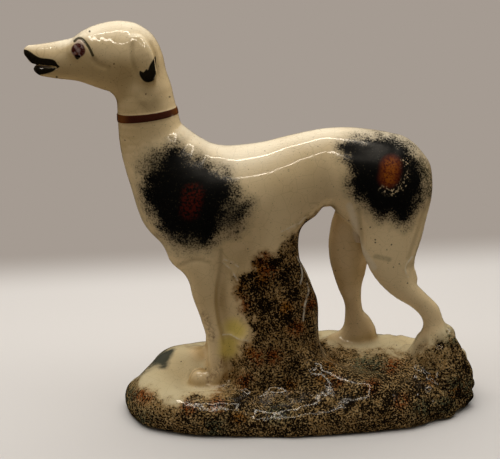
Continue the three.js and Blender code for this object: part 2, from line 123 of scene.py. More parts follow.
# Rocks on the mound: middle, half sizes, how softly each melts into the mound.
ROCKS = [
    ((-71, 17, 16.5), (14, 13, 11), 8),
    ((75, -10, 30), (12, 13, 13), 9),
    ((79, -12, 38.5), (7.6, 8.5, 9.5), 8),
    ((83.5, -8, 23), (12.8, 18, 11), 7),
]
# The mound's oval: how far it lies to the left, half length, half depth, corners, slant.
MOUND_SHIFT = 1.2
MOUND_HALF_LENGTH = 101.8
MOUND_HALF_DEPTH = 47.8
MOUND_SQUARENESS = 2.3
MOUND_SLANT = 0.045
# Brow and eyeball on each side of the head: middle, half sizes, how softly each melts in.
HEAD_SWELLINGS = [
    ((-110.5, -7.4, 209.6), (7.5, 2.6, 4), 5),
    ((-116.2, -7, 206.6), (3.6, 2, 3.2), 2),
]
# The open mouth: where it starts in front, its height there, its length, half its opening, its depth.
MOUTH_FRONT = -143
MOUTH_HEIGHT = 199.6
MOUTH_LENGTH = 15
MOUTH_HALF_OPENING = 1.1
MOUTH_DEPTH = 1.6
# The collar's ends, its height at the throat and how it rises towards the nape.
COLLAR_THROAT = -98.5
COLLAR_NAPE = -64.5
COLLAR_HEIGHT = 170.65
COLLAR_RISE = 0.1025

# Painted outlines are laid on from the side, through one point in front of the near side.
# Each point is x and z where the line from that point crosses the middle plane of the dog.
PAINTING_POINT = (-80.58, -540.53, 274.1)
OUTLINES = {
    "muzzle": [
        (-144.3, 206.8), (-143.3, 207.4), (-141, 206.3), (-138.4, 204.3), (-135.7, 202.9),
        (-131.9, 202.4), (-128.9, 201.5), (-127.6, 199.4), (-126.5, 198.1), (-128.4, 197),
        (-130.4, 195.7), (-133.5, 194.8), (-137.7, 194.3), (-139.7, 195.5), (-140.1, 197.2),
        (-140.1, 199.2), (-141.4, 201), (-143.6, 203.7),
    ],
    "eye_mark": [(-118.6, 203.4), (-116.3, 203.9), (-115.5, 202.9), (-117, 201.6), (-118.1, 202.1)],
    "ear_tip": [
        (-76.7, 202.3), (-76.5, 198.8), (-76.6, 194.2), (-77.3, 190.6), (-78.9, 188.9), (-82.1, 188.6),
        (-84.4, 190.2), (-85.7, 192.9), (-85.4, 194.9), (-83.5, 194), (-82.1, 195.6), (-81.2, 195),
        (-80.3, 197.2), (-78.7, 199.7),
    ],
    "shoulder_patch": [
        (-69.4, 154.1), (-65.1, 152.8), (-60.4, 147.2), (-54.3, 146.5), (-44.6, 139.3), (-39.9, 137.1),
        (-36.4, 131.6), (-33.7, 125.4), (-27.9, 120.5), (-30.5, 115.4), (-35.2, 105.3), (-44.3, 103.4),
        (-51.2, 97), (-61.4, 94.7), (-70.4, 96.6), (-76.9, 103.1), (-78.9, 109), (-84.1, 117.7),
        (-87.5, 128.5), (-86.5, 137.6), (-86.4, 144.9), (-82.7, 149.3), (-76.1, 151.8),
    ],
    "rump_patch": [
        (20.6, 150.9), (27, 154.6), (35.1, 155.3), (44.8, 156.5), (52.2, 154.5), (58.9, 149.9),
        (64.5, 143.1), (68.3, 135.9), (69.2, 127.5), (68.2, 118.2), (64.3, 112.4), (60.3, 104.7),
        (55.7, 104.9), (50.2, 108.3), (42.6, 109.5), (35, 117.1), (26.2, 126.7), (26.5, 135),
        (23.5, 143.4),
    ],
    "tail_root": [
        (66.5, 142.6), (70.9, 135.8), (73.3, 129), (73.7, 123.1), (72.8, 118.9), (71, 123.2), (69.9, 130),
        (67.6, 136.7),
    ],
    "sponged_stump": [
        (2.5, 111.7), (-0.1, 107.9), (-4.4, 102.8), (-8.7, 99.4), (-12.5, 95.7), (-15.2, 90.7),
        (-20.1, 91.6), (-23.5, 91.7), (-29.2, 86.9), (-29.9, 82.1), (-36.9, 81.3), (-38.8, 79.7),
        (-38, 74.8), (-38.6, 69.7), (-36.1, 63.2), (-36.2, 56.3), (-33.3, 51.5), (-30.4, 44.8),
        (-30.5, 40.1), (-34.9, 36.2), (-34, 20), (20, 20), (30, 60), (30, 111),
    ],
    "dark_hump": [
        (-88.1, 26), (-85.5, 31.7), (-80.3, 36.1), (-73.3, 36.6), (-74.1, 33.9), (-75.9, 28.9),
        (-77.7, 25.3), (-80.5, 24.8), (-84.4, 26.8),
    ],
    "sponged_mound": [
        (-34.4, 45.5), (-35.5, 36.8), (-39.8, 27.5), (-43.3, 20.3), (-46.9, 14.5), (-49, 9.8),
        (-53.9, 7.1), (-61.4, 7.9), (-67.6, 5.3), (-72.5, 2.3), (-78.6, 4.2), (-82.6, 6.3), (-87.1, 10.3),
        (-91.7, 13.5), (-95.3, 16.4), (-96.9, 18.7), (-125, 16), (-125, -60), (125, -60), (125, 52),
        (97, 44), (88.6, 39.6), (85.6, 38.1), (82.4, 33.9), (77.5, 32.2), (71.4, 32.1), (68.9, 27.8),
        (65.2, 25.4), (59.5, 25.4), (53.4, 27.1), (46.6, 28.6), (39.8, 29.3), (33.7, 28.5), (29.2, 30.9),
        (23.2, 33.7), (15.7, 32.3), (9.4, 36.1), (0, 60),
    ],
}
# Painted and carved lines, in the same way.
LINES = {
    "mouth": [(-140.5, 199.7), (-137.9, 199.4), (-134.9, 198.7), (-131.1, 197.7)],
    "mouth_red": [(-140.1, 199), (-138.2, 198.6), (-136.3, 198.2)],
    "brow": [
        (-118.1, 211.1), (-116.6, 212.4), (-115.1, 212.5), (-113.6, 211.5), (-112.3, 209.7),
        (-110.8, 207.3), (-109.2, 203.5),
    ],
    "web_fold": [(-44.5, 87.1), (-41.1, 84.1), (-38.5, 80), (-36.4, 75.9)],
    "second_web_fold": [(-43.7, 88.7), (-39.4, 86.9), (-35.7, 83.8)],
    "belly_crease": [(-11.4, 103.4), (-5.5, 106.2), (-1.2, 108.8), (2.3, 111.1)],
    "second_belly_crease": [(-7.4, 103.4), (-3.3, 106), (0.1, 108.6)],
    "upper_bark_fold": [(-1.5, 88.4), (0.3, 82), (0.7, 77.4), (-0.4, 71.8)],
    "lower_bark_fold": [(4.3, 72.1), (4, 67.5), (2.5, 62.4), (1.3, 57.2), (0.9, 49.6)],
    "thigh_edge": [(26.7, 116.6), (30.2, 106.2), (31.3, 98.4), (35.5, 89.5), (41.2, 79.6)],
    "thigh_groove": [(31.9, 114.6), (33.2, 104.3), (34.6, 93.9)],
    "short_thigh_line": [(30.4, 95.9), (32.4, 87.1)],
    "tail_groove": [(71.2, 117.2), (68.6, 108.8), (65.2, 96.8), (61, 84.4)],
    "tail_inner_line": [(63.3, 85.1), (60.2, 81.3), (59.5, 76.9), (61.3, 72.9)],
    "tail_outer_line": [(63.5, 86), (64.6, 78.5), (65.4, 74)],
    "cheek": [(-109.1, 203.3), (-107.9, 200.2), (-104.9, 198.3), (-101.1, 197.2)],
    "ear_front": [(-88.4, 210.6), (-88.9, 205.3), (-88.7, 199.7), (-86.1, 192.2)],
    "ear_back": [
        (-79.2, 209.5), (-76.9, 202.7), (-76.5, 196.5), (-77.1, 190.8), (-80.1, 188.4), (-83.5, 188.6),
    ],
    "toe_line": [(-53.9, 21.7), (-53.7, 16.4), (-55.1, 12)],
    "toe_ring": [(-64.9, 14.9), (-65, 18.6), (-63, 22.2), (-58.9, 23.7), (-54.8, 22.8)],
    "leg_crease": [(-69.3, 86), (-59.8, 89.1), (-51.5, 87.5)],
    "leg_edge": [
        (-45.2, 94.2), (-46, 82.5), (-47.6, 73.7), (-48.4, 66.3), (-48.3, 60.5), (-47.2, 51.9),
        (-45.7, 45.1), (-44.7, 38.3),
    ],
    "ledge_line": [(-45.2, 43.3), (-41.4, 43.7), (-38.7, 42.1), (-35.4, 40.1), (-31, 39)],
    "stain": [(-55.5, 56.2), (-53.2, 50.8), (-51.7, 45.4), (-51.2, 41.9)],
    "foot_stain": [(-45.7, 28.6), (-46.7, 23.5), (-49.5, 20.7), (-53.7, 15.7)],
    "smear": [(42.3, 86.2), (50, 84)],
}
# Single places, in the same way.
SPOTS = {
    "eye": [(-116.5, 206.3)],
    "lilac": [(-115.6, 210)],
    "shoulder_red": [(-59.6, 127.3), (-60.6, 122.8), (-61.8, 118.2)],
    "shoulder_thin": [(-41.3, 110.3), (-38.9, 118.4), (-70.3, 100.4), (-61.3, 98.2), (-80.7, 145.3)],
    "rump_rust": [(49.4, 138.7), (49.3, 135.4), (48.7, 132.1)],
    "holes": [(71.8, 31.7), (69.9, 27.8), (81, 29.9)],
    "round_hole": [(7, 19.8)],
    "rust": [
        (-66.5, -1.5), (-49.3, -1.1), (-26.1, 28.1), (-16.6, 28.3), (-91.3, 8.3), (-33.2, 13.7),
        (-21.4, 89.3), (-18.5, 80.7), (5.9, 59.8), (-34, 61.4), (-2.9, 45.1), (19.7, 10), (53.6, 17.8),
        (59.7, -4.9), (41.8, 5.4),
    ],
    "dark": [
        (-14.2, 86.2), (-8.8, 76.8), (-4.5, 66.2), (-25.1, 70.7), (-22, 60.2), (-6.7, 51.7),
        (-31.5, 78.5), (-36.1, 1.8), (-62.3, 2), (-5.6, 21), (69.4, 2.8), (28.2, -2.9), (52.6, -2),
        (-5.1, 22.9), (82.2, 32.2),
    ],
    "ochre": [
        (-22.9, 75.8), (-23.9, 83.2), (-36, 71.3), (-8.9, 57.7), (-50.4, 8.8), (-37, -10.4), (11.4, 13.8),
        (92.8, -1.2), (77, 6.5), (-29.9, 33), (-6.8, 9.5), (16.7, 20.8), (-44.5, 20.1),
    ],
    "green": [
        (-99.4, 7.4), (-92.7, -8.2), (-51.7, -15.5), (-14.1, -8), (73, -10.8), (36.2, 20.4), (88.8, 36),
        (100.4, 1.7), (44.5, 18.3), (93.8, 3.2), (86.4, -9.4),
    ],
    "pool": [(-39.1, 47.7), (-42, 37.8), (-42.4, 33.5), (-36.7, 45.6)],
    "tail_hollow": [(62.4, 78.6)],
    "neck_bump": [(-84.2, 179)],
    "ripples": [(-67.3, 157.6), (-57.8, 152), (-45, 146.9)],
    "pits": [
        (22.2, 120.1), (26.6, 108.3), (20, 107.5), (20.8, 96.2), (33.6, 102.9), (38.8, 103.6),
        (41.8, 96.2), (41.9, 94.5), (51.2, 92.8), (48.5, 90), (52.6, 79.3), (56, 81.1), (61.1, 69.3),
        (36.4, 49), (31.5, 79.7), (19.3, 78.9), (77.1, 51.8), (20.9, 96.2), (-20.7, 109.4), (-17, 109.1),
        (-36.6, 99.6), (-36.5, 55.4), (-39.6, 76.1), (-110.1, 215.8), (-98.5, 198.8), (-128.4, 192.9),
        (-82.8, 182.4), (-70.4, 180.6), (-95, 158.1), (-20.3, 149.5), (-24.7, 151.9), (-69.6, 28),
        (-64.5, 22.7), (-55.5, 22.9),
    ],
    "lower_lip": [(-138.4, 197.5)],
    "rump_flecks": [(57.1, 139.6), (58.6, 132.1), (56.3, 127.1), (51.4, 124), (46.4, 125)],
    "neck_shade": [(-83.3, 180.4), (-79.8, 177.6)],
}


# Distances to the skin, in millimetres: negative inside, and soft where two forms run together.

# A limb is measured up to REACH outside its box, and any point beyond counts as FAR_AWAY.
REACH = 16.0
FAR_AWAY = 60.0
UNDERSIDE_DEPTH = 0.8
LARGEST_MOVE = 2.0
LEAST_STEEPNESS = 0.3


def join(first, second, softness):
    """Both forms, melted together where their skins are nearer to each other than the softness."""
    overlap = np.maximum(softness - np.abs(first - second), 0) / softness
    return np.minimum(first, second) - overlap * overlap * softness * 0.25


def meet(first, second, softness):
    """What both forms have in common, with a soft edge."""
    return -join(-first, -second, softness)


def ramp(value):
    """From 0 to 1, half way at 0."""
    return 1 / (1 + np.exp(-value))


def smooth_step(value, low, high):
    """From 0 to 1 as the value goes from low to high, without a corner."""
    share = np.clip((value - low) / (high - low), 0, 1)
    return share * share * (3 - 2 * share)


def curve_points(stations, closed=False, pieces=4):
    """Points along a smooth curve through the stations."""
    given = np.array(stations, float)
    if closed:
        path = np.vstack([given[-1], given, given[:2]])
    else:
        path = np.vstack([2 * given[0] - given[1], given, 2 * given[-1] - given[-2]])
    points = []
    for a, b, c, d in zip(path[:-3], path[1:-2], path[2:-1], path[3:]):
        for step in range(pieces):
            t = step / pieces
            points.append(0.5 * (
                2 * b + (c - a) * t + (2 * a - 5 * b + 4 * c - d) * t * t + (3 * b - a - 3 * c + d) * t ** 3
            ))
    points.append(given[0] if closed else given[-1])
    return np.array(points)


def limb(points, name):
    """Distance to a limb, or far away for points well outside its box."""
    rings = curve_points(LIMBS[name])
    spread = rings[:, 3:4] * np.maximum([1, 1, 1], rings[:, 4:5])
    low = (rings[:, :3] - spread).min(0) - REACH
    high = (rings[:, :3] + spread).max(0) + REACH
    near = np.all((points > low) & (points < high), axis=1)
    chosen = points[near]
    best = np.full(len(chosen), FAR_AWAY)
    for start, end in zip(rings[:-1], rings[1:]):
        axis = end[:3] - start[:3]
        offset = chosen - start[:3]
        t = np.clip(offset @ axis / (axis @ axis), 0, 1)
        across = offset - t[:, None] * axis
        across[:, 1] /= start[4] + (end[4] - start[4]) * t
        radius = start[3] + (end[3] - start[3]) * t
        best = np.minimum(best, np.sqrt((across * across).sum(1)) - radius)
    result = np.full(len(points), FAR_AWAY)
    result[near] = best
    return result


def ball(points, middle, half_sizes):
    """Distance to an egg-shaped swelling."""
    scaled = (points - np.array(middle)) / np.array(half_sizes)
    return (np.sqrt((scaled * scaled).sum(1)) - 1) * min(half_sizes)


def mound(points):
    """The mound: its oval wall, its ground with a rise behind and to the right, and its rocks."""
    x, y, z = points.T
    across = (x + MOUND_SHIFT) / MOUND_HALF_LENGTH
    deep = (y + MOUND_SLANT * x) / MOUND_HALF_DEPTH
    power = MOUND_SQUARENESS
    reach = (np.abs(across) ** power + np.abs(deep) ** power) ** (1 / power)
    turn = np.arctan2(deep, across)
    lean = np.where(z < 9, 2.2 * ((9 - z) / 9) ** 2, 3 * ((z - 9) / 20) ** 2)
    lumps = 0.4 * np.sin(9 * turn + 1)
    ridges = 0.4 * ramp((x - 40) / 15) * np.sin(21 * turn + 0.1 * z)
    wall = (reach - 1) * MOUND_HALF_DEPTH * 0.95 + lean + lumps + ridges
    ground = 17 + 12 * ramp((y + 2) / 9) + 9 * ramp((x - 4) / 10) * ramp((10 - y) / 10)
    ground = ground - 0.00035 * x * x + np.sin(x / 9 + y / 14) * np.cos(y / 8 - x / 25)
    skin = meet(wall, (z - ground) * 0.9, 18)
    for middle, half_sizes, softness in ROCKS:
        skin = join(skin, ball(points, middle, half_sizes), softness)
    skin = join(skin, limb(points, "root"), 12)
    return join(skin, limb(points, "ledge"), 12)


def head(points, near_side):
    """The head, with an ear, a brow and an eye on each side and the open mouth."""
    skin = join(limb(points, "head"), limb(points, "jaw"), 4)
    skin = join(skin, limb(near_side, "ear"), 3)
    for middle, half_sizes, softness in HEAD_SWELLINGS:
        skin = join(skin, ball(near_side, middle, half_sizes), softness)
    from_front = points[:, 0] - MOUTH_FRONT
    t = np.clip(from_front / MOUTH_LENGTH, 0, 1)
    slit = np.hypot(from_front - MOUTH_LENGTH * t, points[:, 2] - MOUTH_HEIGHT + t)
    slit -= MOUTH_HALF_OPENING * (1 - 0.6 * t)
    return meet(skin, -np.maximum(slit, -MOUTH_DEPTH - skin), 0.8)


def on_near_side(points):
    """The points, with those of the far side mirrored to the near side."""
    mirrored = points.copy()
    mirrored[:, 1] = -np.abs(points[:, 1])
    return mirrored


def figurine(points):
    """Distance to the skin of the whole figurine, without its flat underside."""
    near_side = on_near_side(points)
    skin = join(limb(points, "trunk"), limb(points, "neck"), 9)
    skin = join(skin, head(points, near_side), 6)
    skin = join(skin, limb(near_side, "foreleg"), 6)
    skin = join(skin, limb(near_side, "forefoot"), 3)
    near_leg = join(limb(points, "near_hind_leg"), limb(points, "tail"), 2)
    skin = join(skin, near_leg, 7)
    far_leg = join(limb(points, "far_hind_leg"), limb(points, "far_heel"), 3)
    far_leg = join(far_leg, limb(points, "far_toes"), 4)
    skin = join(skin, far_leg, 3)
    wood = limb(points, "stump")
    for name in ("rear_bark", "middle_bark", "front_bark"):
        wood = join(wood, limb(points, name), 4)
    wood = join(wood, limb(points, "web"), 8)
    skin = join(skin, wood, 5)
    return join(skin, mound(points), 7)


def outwards(points, step=0.3):
    """The distance, the outward direction and how fast the distance grows at each point."""
    here = figurine(points)
    slope = np.stack([figurine(points + step * np.eye(3)[i]) - here for i in range(3)], axis=1)
    length = np.linalg.norm(slope, axis=1, keepdims=True)
    return here, slope / np.maximum(length, 1e-6), length[:, 0] / step


def on_underside(points, distance):
    """True for points on the flat underside, clear of its edge."""
    return (points[:, 2] < UNDERSIDE_DEPTH) & (distance < -UNDERSIDE_DEPTH)


def settle(points, rounds):
    """Moves points on to the skin and keeps the underside flat."""
    for _ in range(rounds):
        distance, direction, steepness = outwards(points)
        under = on_underside(points, distance)
        move = np.clip(distance / np.maximum(steepness, LEAST_STEEPNESS), -LARGEST_MOVE, LARGEST_MOVE)
        move[under] = 0
        points = points - direction * move[:, None]
        points[:, 2] = np.where(under, 0, np.maximum(points[:, 2], 0))
    return points


# Painted marks and relief: positions on the middle plane, seen from the painting point.

def laid_flat(points):
    """Where the line from the painting point through each point crosses the middle plane."""
    start = np.array(PAINTING_POINT)
    share = -start[1] / (points[:, 1] - start[1])
    crossing = start + (points - start) * share[:, None]
    return crossing[:, [0, 2]]


def facing(points, out):
    """How squarely the skin faces the painting point, from -1 to 1."""
    towards = np.array(PAINTING_POINT) - points
    towards /= np.linalg.norm(towards, axis=1, keepdims=True)
    return (towards * out).sum(1)


def line_distance(flat, points, closed=False):
    """Distance to a smooth line, and the place along it from 0 to 1."""
    path = curve_points(points, closed)
    best = np.full(len(flat), 1e9)
    along = np.zeros(len(flat))
    for index, (start, end) in enumerate(zip(path[:-1], path[1:])):
        run = end - start
        offset = flat - start
        t = np.clip(offset @ run / max(run @ run, 1e-9), 0, 1)
        distance = np.hypot(*(offset - t[:, None] * run).T)
        closer = distance < best
        best[closer] = distance[closer]
        along[closer] = (index + t[closer]) / (len(path) - 1)
    return best, along


def inside_by(flat, outline):
    """How far inside a closed outline each point is; negative outside."""
    path = curve_points(outline, closed=True)
    distance = line_distance(flat, outline, closed=True)[0]
    within = np.zeros(len(flat), bool)
    u, w = flat.T
    for (u0, w0), (u1, w1) in zip(path[:-1], path[1:]):
        if w1 != w0:
            crosses = (w0 > w) != (w1 > w)
            within ^= crosses & (u < u0 + (w - w0) * (u1 - u0) / (w1 - w0))
    return np.where(within, distance, -distance)


def nearest_line(flat, names):
    """Distance to the nearest of the named lines."""
    return np.min([line_distance(flat, LINES[name])[0] for name in names], axis=0)


def nearest_spot(flat, name):
    """Distance to the nearest of the spots of that name."""
    return np.min([np.hypot(flat[:, 0] - u, flat[:, 1] - w) for u, w in SPOTS[name]], axis=0)


def bell(distance, width):
    """1 in the middle, falling off softly over the width."""
    return np.exp(-0.5 * (distance / width) ** 2)


def taper(along, share=0.25):
    """Fades a line out towards both of its ends."""
    return smooth_step(along, 0, share) * smooth_step(1 - along, 0, share)


def grain(points, size, seed):
    """Smooth noise from -1 to 1 whose lumps are about size millimetres across."""
    shift = Vector((seed * 7.3, seed * 3.1, seed * 5.7))
    return np.array([noise.noise(Vector(p) / size + shift) for p in points])


# Boxes where the mesh is made finer, each edge halved once for every box it lies in.
FINE_BOXES = [
    ((-150, -30, 178), (-72, 30, 225)),
    ((-150, -14, 190), (-124, 14, 212)),
    ((-124, -16, 199), (-105, 16, 216)),
    ((-106, -25, 165), (-60, 25, 178)),
    ((-48, -40, 34), (16, -2, 112)),
    ((24, -30, 64), (76, 0, 120)),
    ((-70, -24, 10), (-42, -2, 40)),
]


def faces_in(mesh, low, high):
    """True for each face whose middle lies in the box."""
    middles = np.empty(len(mesh.polygons) * 3)
    mesh.polygons.foreach_get("center", middles)
    middles = middles.reshape(-1, 3) / MM
    return np.all((middles > np.array(low)) & (middles < np.array(high)), axis=1)


def read_points(mesh):
    """The mesh's points in millimetres."""
    points = np.empty(len(mesh.vertices) * 3)
    mesh.vertices.foreach_get("co", points)
    return points.reshape(-1, 3) / MM


def write_points(mesh, points):
    """Puts the mesh's points, given in millimetres."""
    mesh.vertices.foreach_set("co", (points * MM).ravel())
    mesh.update()


def evened(mesh, points, share=0.5):
    """Each point moved towards the middle of its neighbours, so that the faces have even sizes."""
    pairs = np.empty(len(mesh.edges) * 2, int)
    mesh.edges.foreach_get("vertices", pairs)
    first, second = pairs.reshape(-1, 2).T
    count = np.bincount(pairs, minlength=len(points))
    total = np.stack([
        np.bincount(first, points[second, i], len(points))
        + np.bincount(second, points[first, i], len(points))
        for i in range(3)
    ], axis=1)
    return points + share * (total / count[:, None] - points)


def make_body(sizes):
    """The figurine's fine skin, from a copy of the solid."""
    body = bpy.data.objects.new(PIECE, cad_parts[NODE].data.copy())
    bpy.context.scene.collection.objects.link(body)
    bpy.ops.object.select_all(action="DESELECT")
    body.select_set(True)
    bpy.context.view_layer.objects.active = body
    # The solid's loose triangles become one closed skin of even faces, laid on the limbs.
    bpy.ops.object.mode_set(mode="EDIT")
    bpy.ops.mesh.select_all(action="SELECT")
    bpy.ops.mesh.remove_doubles(threshold=0.01 * MM)
    bpy.ops.object.mode_set(mode="OBJECT")
    body.data.remesh_voxel_size = sizes.face_size
    bpy.ops.object.voxel_remesh()
    mesh = body.data
    write_points(mesh, settle(read_points(mesh), 2))
    for low, high in FINE_BOXES:
        bpy.ops.object.mode_set(mode="EDIT")
        bpy.ops.mesh.select_mode(type="FACE")
        bpy.ops.mesh.select_all(action="DESELECT")
        bpy.ops.object.mode_set(mode="OBJECT")
        mesh.polygons.foreach_set("select", faces_in(mesh, low, high))
        bpy.ops.object.mode_set(mode="EDIT")
        bpy.ops.mesh.subdivide(number_cuts=1)
        bpy.ops.mesh.select_all(action="SELECT")
        bpy.ops.object.mode_set(mode="OBJECT")
    # Where the finer boxes end the faces are evened out, and the skin is laid on the limbs again.
    for _ in range(3):
        points = evened(mesh, read_points(mesh))
        write_points(mesh, settle(points, 1))
    points = settle(read_points(mesh), 2)
    for _ in range(5):
        points = evened(mesh, points)
    write_points(mesh, points)
    bpy.ops.object.shade_smooth()
    mesh.materials.clear()
    return body


class Skin:
    """Points of the skin with what the marks and the relief need to know about them."""

    def __init__(self, points):
        self.points = points
        distance, self.out, _ = outwards(points)
        self.out[on_underside(points, distance)] = (0, 0, -1)
        mirrored = on_near_side(points)
        turned = self.out.copy()
        turned[points[:, 1] > 0, 1] *= -1
        self.flat = laid_flat(points)
        self.flat_both = laid_flat(mirrored)
        self.facing = facing(points, self.out)
        self.seen = smooth_step(self.facing, -0.05, 0.2)
        self.seen_both = smooth_step(facing(mirrored, turned), -0.05, 0.2)
        self.to_mound = mound(points)
        forelegs = join(limb(mirrored, "foreleg"), limb(mirrored, "forefoot"), 3)
        legs = [limb(points, name) for name in ("near_hind_leg", "far_hind_leg", "far_heel", "far_toes")]
        self.to_legs = np.min([forelegs, *legs], axis=0)


# Carved lines: name, height, half width, both sides of the dog or the near side alone.
CARVED_LINES = [
    ("brow", -0.3, 0.6, True),
    ("cheek", -0.6, 1.2, True),
    ("ear_front", -0.4, 1.6, True),
    ("ear_back", -0.4, 0.6, True),
    ("web_fold", 0.9, 0.8, False),
    ("second_web_fold", 0.5, 0.8, False),
    ("belly_crease", 0.55, 0.6, False),
    ("second_belly_crease", 0.45, 0.6, False),
    ("upper_bark_fold", 1.0, 0.7, False),
    ("lower_bark_fold", 1.1, 0.8, False),
    ("thigh_edge", 0.9, 1.8, False),
    ("thigh_groove", -0.5, 1.1, False),
    ("short_thigh_line", -0.4, 0.6, False),
    ("tail_groove", -0.5, 1.1, False),
    ("tail_inner_line", 0.5, 0.7, False),
    ("tail_outer_line", 0.3, 0.6, False),
    ("toe_line", -0.6, 0.6, False),
    ("toe_ring", -0.5, 0.7, False),
    ("leg_crease", -0.5, 0.8, False),
    ("leg_edge", -0.5, 0.8, False),
    ("ledge_line", 0.8, 0.7, False),
]
# Raised folds where the glaze runs thin and pale, painted paler still along their crests as painted
# highlights.
PALE_GLINTING_FOLDS = (
    "web_fold", "second_web_fold", "belly_crease", "second_belly_crease", "upper_bark_fold",
    "lower_bark_fold", "ledge_line", "tail_inner_line",
)
# Grooves where the glaze has pooled and browned, painted darker as painted shade.
GROOVES_POOLED_AND_SHADED = (
    "cheek", "ear_front", "ear_back", "thigh_groove", "short_thigh_line", "tail_groove", "toe_line",
    "toe_ring", "leg_crease", "leg_edge",
)
# Small round swellings and dents: places, height, half width.
ROUND_FORMS = [
    ("ripples", 1.3, 4.2),
    ("lower_lip", 0.9, 1.6),
    ("tail_hollow", -0.9, 1.6),
    ("neck_bump", 0.6, 1.7),
    ("holes", -2.2, 1.5),
    ("round_hole", -1.6, 1.0),
]
# Broad swellings and dents that show in the outline: place on the skin, height, half width.
BROAD_FORMS = [
    ((13.1, -3.1, 119.7), -3.4, 5.0),
    ((-0.9, -3.8, 106.2), -1.4, 6.0),
    ((-2.3, -5.5, 94), -1.6, 6.0),
    ((-0.7, -6.3, 84), -1.6, 6.0),
    ((3.4, -5.4, 74), -1.8, 6.0),
    ((-67.5, -11.8, 87.1), -3.0, 4.5),
    ((-64.9, -13.3, 80), -1.8, 4.0),
    ((-89.3, 22.7, 17.5), -2.4, 6.0),
    ((-94.3, 17.1, 12.6), -1.8, 6.0),
    ((91.2, -6.5, 29.4), -1.6, 6.0),
    ((-98.1, -10, 5), 2.4, 7.0),
    ((-92, -22, 5), 2.2, 7.0),
]


def rocky_relief(skin, sizes):
    """Lumps all over the mound and upright ridges at its right end, in millimetres."""
    rocky = smooth_step(3 - skin.to_mound, 0, 2.5) * smooth_step(skin.to_legs, 0.5, 4)
    lumps = 0.8 * grain(skin.points, 13, 1) + 0.45 * grain(skin.points, 5.5, 2)
    ridges = np.abs(grain(skin.points * (1, 1, 0.35), 7, 3)) - 0.25
    ridges *= smooth_step(skin.points[:, 0], 45, 75)
    return rocky * (sizes.rock_height * lumps + sizes.ridge_height * ridges) / MM


def collar_band(points, sizes):
    """How far inside the collar's band each point is, in millimetres; negative outside."""
    x, y, z = points.T
    from_throat = x - COLLAR_THROAT
    middle = COLLAR_HEIGHT + COLLAR_RISE * from_throat
    half = sizes.collar_width / MM / 2 - 0.4 * np.clip(from_throat / 32, 0, 1)
    return np.where((x < -55) & (z > 150), half - np.abs(z - middle), -9)


def relief(skin, sizes, rocks):
    """Height of all the small relief at each point, in millimetres."""
    height = rocks.copy()
    for name, rise, width, both in CARVED_LINES:
        flat = skin.flat_both if both else skin.flat
        seen = skin.seen_both if both else skin.seen
        distance, along = line_distance(flat, LINES[name])
        height += rise * bell(distance, width) * taper(along) * seen
    for name, rise, width in ROUND_FORMS:
        height += rise * bell(nearest_spot(skin.flat, name), width) * skin.seen
    for place, rise, width in BROAD_FORMS:
        height += rise * bell(np.linalg.norm(skin.points - np.array(place), axis=1), width)
    height += sizes.collar_height / MM * smooth_step(collar_band(skin.points, sizes), -0.35, 0.25)
    height += sizes.hand_finish / MM * grain(skin.points, 24, 4)
    # The relief fades out over the lowest 2 mm, so that the underside stays flat.
    return height * smooth_step(skin.points[:, 2], 0, 2)


# Each line mark and the lines that it is made of, on the near side alone and on both sides.
NEAR_LINE_MARKS = {
    "stain": ["stain"],
    "foot_stain": ["foot_stain"],
    "smear": ["smear"],
    "thigh_band": ["thigh_edge"],
    "fold": PALE_GLINTING_FOLDS,
}
BOTH_LINE_MARKS = {
    "mouth": ["mouth"],
    "mouth_red": ["mouth_red"],
    "brow": ["brow"],
    "groove": GROOVES_POOLED_AND_SHADED,
}
BOTH_SPOT_MARKS = (
    "eye", "lilac", "shoulder_red", "shoulder_thin", "rump_rust", "neck_shade", "rump_flecks",
)
NEAR_SPOT_MARKS = ("rust", "dark", "ochre", "green", "pits")
# The most that a mark's distance says, and how far off a mark counts on skin turned away from it.
FAR_MARK = 40.0
TURNED_AWAY = 30.0


